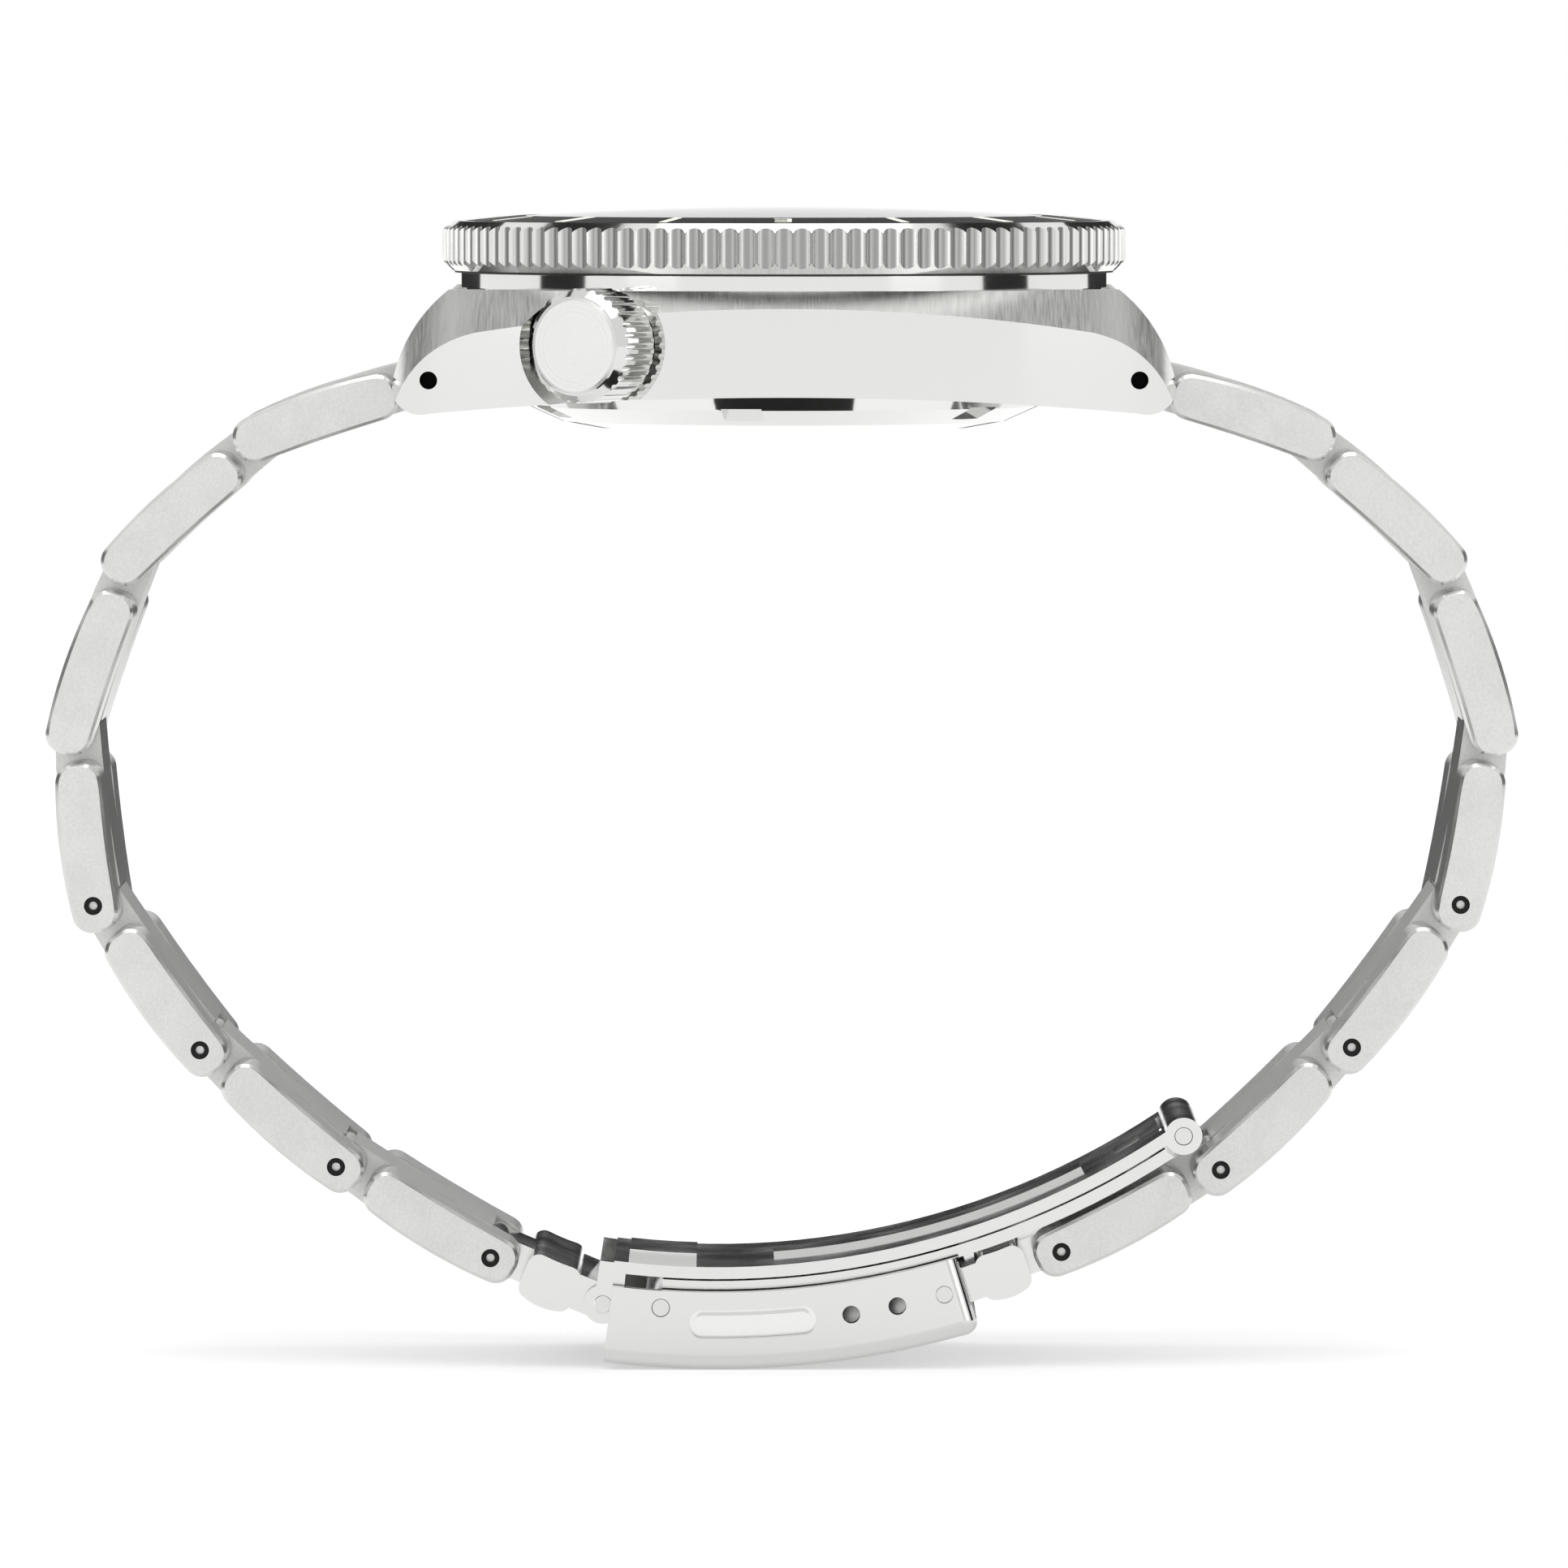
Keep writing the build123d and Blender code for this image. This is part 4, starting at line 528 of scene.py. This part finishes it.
# the hands' lume: a widening bar on the minute hand, an arrow head on the hour hand
handLume = {"minute": {"length": 7.0, "width": 0.7, "height": 0.05, "middle": 5.9, "taper": 1.5},
            "hour": {"length": 2.3, "width": 1.4, "height": 0.05, "middle": 6.0, "taper": 0.1}}
for hand, fill in handLume.items():
    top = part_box(hand + "_hand")[1][2]
    strip = makeBar(hand + "HandFill", fill["length"], fill["width"], fill["height"], fill["taper"])
    strip.data.transform(Matrix.Translation((0, fill["middle"] * mm, top)))
    joinPieces(hand + "HandFill", [strip], markPaint, hand + "_hand")
print("stage: printed marks")

# a black seal fills the gap between the case's flange and the bezel; its black also stands in as painted
# shade for the dark gap under the bezel
seal = {"inner": 17.5, "outer": 19.6, "belowBezel": 0.02, "thickness": 0.1}
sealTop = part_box("bezel_ring")[0][2] / mm - seal["belowBezel"]
sealRing = makeRing("bezelSealAndGapShade", seal["inner"], seal["outer"], sealTop, sealTop, seal["thickness"],
                    roundSides["large"])
joinPieces("bezelSealAndGapShade", [sealRing], finishes["gasket_rubber"], "case")

# a black ring lies round the end of each removable row's pin: painted shade that stands in for the shadow in
# the pin's hole, so that the pin shows in a dark hole
holeShadeRing = {"inner": 0.25, "outer": 0.53, "thickness": 0.16, "proudOfPin": 0.06, "pinInset": 0.35,
          "rows": (4, 5, 6, 7)}
jointOf = {joint["child"]: joint for joint in record["behaviour"]["joints"]}
for side in ("12h", "6h"):
    for row in holeShadeRing["rows"]:
        body = f"link_{side}_{row}"
        lastRow = row == holeShadeRing["rows"][-1]
        nextBody = f"clasp_end_{side}" if lastRow else f"link_{side}_{row + 1}"
        axisPoint = jointOf[nextBody]["pos_m"]
        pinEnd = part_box(body)[1][0] / mm - holeShadeRing["pinInset"] + holeShadeRing["proudOfPin"]
        rings = []
        for face in (1, -1):
            ring = makeRing("holeShadeRing", holeShadeRing["inner"], holeShadeRing["outer"], pinEnd, pinEnd, holeShadeRing["thickness"],
                            roundSides["small"])
            turn = Matrix.Rotation(face * math.pi / 2, 4, "Y")
            ring.data.transform(Matrix.Translation((0, axisPoint[1], axisPoint[2])) @ turn)
            rings.append(ring)
        joinPieces(f"pinHoleShade_{side}_{row}", rings, holeShadePaint, body)
print("stage: pin hole shade rings")

studio = {"floor": "c8c8c8", "glow": 0.42, "reach": 6.0, "card": "141414"}
watchMiddle = Vector((0, 0, -0.02))  # what the cards and the lights face
bpy.ops.object.select_all(action="DESELECT")
bpy.ops.mesh.primitive_plane_add(size=studio["reach"], location=(0, 0, 0))
floor = bpy.context.object
floor.name = "studioFloor"
floor.data.transform(Matrix.Translation((0, 0, cadBox[0][2])))
# matt paper on a light table, so the watch leaves only a faint shadow on it
paper = newMaterial("paperMatt")
paperShader = addNode(paper, "ShaderNodeBsdfPrincipled",
                      {"Base Color": hexColour(studio["floor"]), "Roughness": 0.9, "Specular IOR Level": 0.1,
                       "Emission Color": hexColour("ffffff"), "Emission Strength": studio["glow"]})
addNode(paper, "ShaderNodeOutputMaterial", None, {"Surface": paperShader.outputs["BSDF"]})
floor.data.materials.append(paper)

# black cards round the watch, seen only in its reflections, give the steel its dark edges
cards = {
    "cardLeft": {"centre": (0.04, -0.42, 0.0), "size": (0.4, 0.16)},
    "cardRight": {"centre": (0.04, 0.42, 0.0), "size": (0.4, 0.16)},
    "cardBehind": {"centre": (-0.50, 0.0, 0.23), "size": (0.24, 0.9)},
    "cardBehindLow": {"centre": (-0.50, 0.0, -0.02), "size": (0.06, 0.9)},
    "cardOverhead": {"centre": (-0.25, 0.0, 0.45), "size": (0.16, 0.7)},
    "cardUnder": {"centre": (0.042, 0.0, -0.027), "size": (0.024, 0.05)},  # small, for the back ring's slope
}
cardPaint = newMaterial("cardBlackMatt")
cardShader = addNode(cardPaint, "ShaderNodeBsdfPrincipled",
                     {"Base Color": hexColour(studio["card"]), "Roughness": 0.9})
addNode(cardPaint, "ShaderNodeOutputMaterial", None, {"Surface": cardShader.outputs["BSDF"]})
for name, card in cards.items():
    bpy.ops.mesh.primitive_plane_add(size=1, location=(0, 0, 0))
    board = bpy.context.object
    board.name = name
    centre = Vector(card["centre"])
    aim = (watchMiddle - centre).to_track_quat("Z", "X")
    board.data.transform(Matrix.LocRotScale(centre, aim, Vector((*card["size"], 1))))
    board.data.materials.append(cardPaint)
    board.visible_camera = False
    board.visible_diffuse = False
    board.visible_shadow = False

lights = {
    "softboxTop": {"place": (0.15, 0.0, 0.7), "size": (0.5, 0.9), "power": 2.2},
    "softboxLeft": {"place": (0.55, -0.6, 0.25), "size": (0.3, 0.5), "power": 0.9},
    "softboxRight": {"place": (0.55, 0.6, 0.25), "size": (0.3, 0.5), "power": 0.9},
}
for name, box in lights.items():
    lampData = bpy.data.lights.new(name, "AREA")
    lampData.shape = "RECTANGLE"
    lampData.size, lampData.size_y = box["size"]
    lampData.energy = box["power"]
    lamp = bpy.data.objects.new(name, lampData)
    lamp.location = box["place"]
    lamp.rotation_euler = (watchMiddle - lamp.location).to_track_quat("-Z", "Y").to_euler()
    bpy.context.collection.objects.link(lamp)

world = bpy.data.worlds.new("paleStudio")
bpy.context.scene.world = world
world.use_nodes = True
world.node_tree.nodes["Background"].inputs["Color"].default_value = hexColour("ffffff")
world.node_tree.nodes["Background"].inputs["Strength"].default_value = 1.0

cameraSpot = {"distance": 0.85, "eyeHeight": 0.0204, "aimHeight": -0.0213, "focal": 327.5, "sensor": 36,
              "nearest": 0.01}
cameraData = bpy.data.cameras.new("productCamera")
cameraData.lens = cameraSpot["focal"]
cameraData.sensor_width = cameraSpot["sensor"]
cameraData.clip_start = cameraSpot["nearest"]
camera = bpy.data.objects.new("productCamera", cameraData)
camera.location = (cameraSpot["distance"], 0, cameraSpot["eyeHeight"])
lookAt = Vector((0, 0, cameraSpot["aimHeight"])) - camera.location
camera.rotation_euler = lookAt.to_track_quat("-Z", "Y").to_euler()
bpy.context.collection.objects.link(camera)
bpy.context.scene.camera = camera
bpy.context.scene.view_settings.view_transform = "Standard"
print("stage: studio and camera")
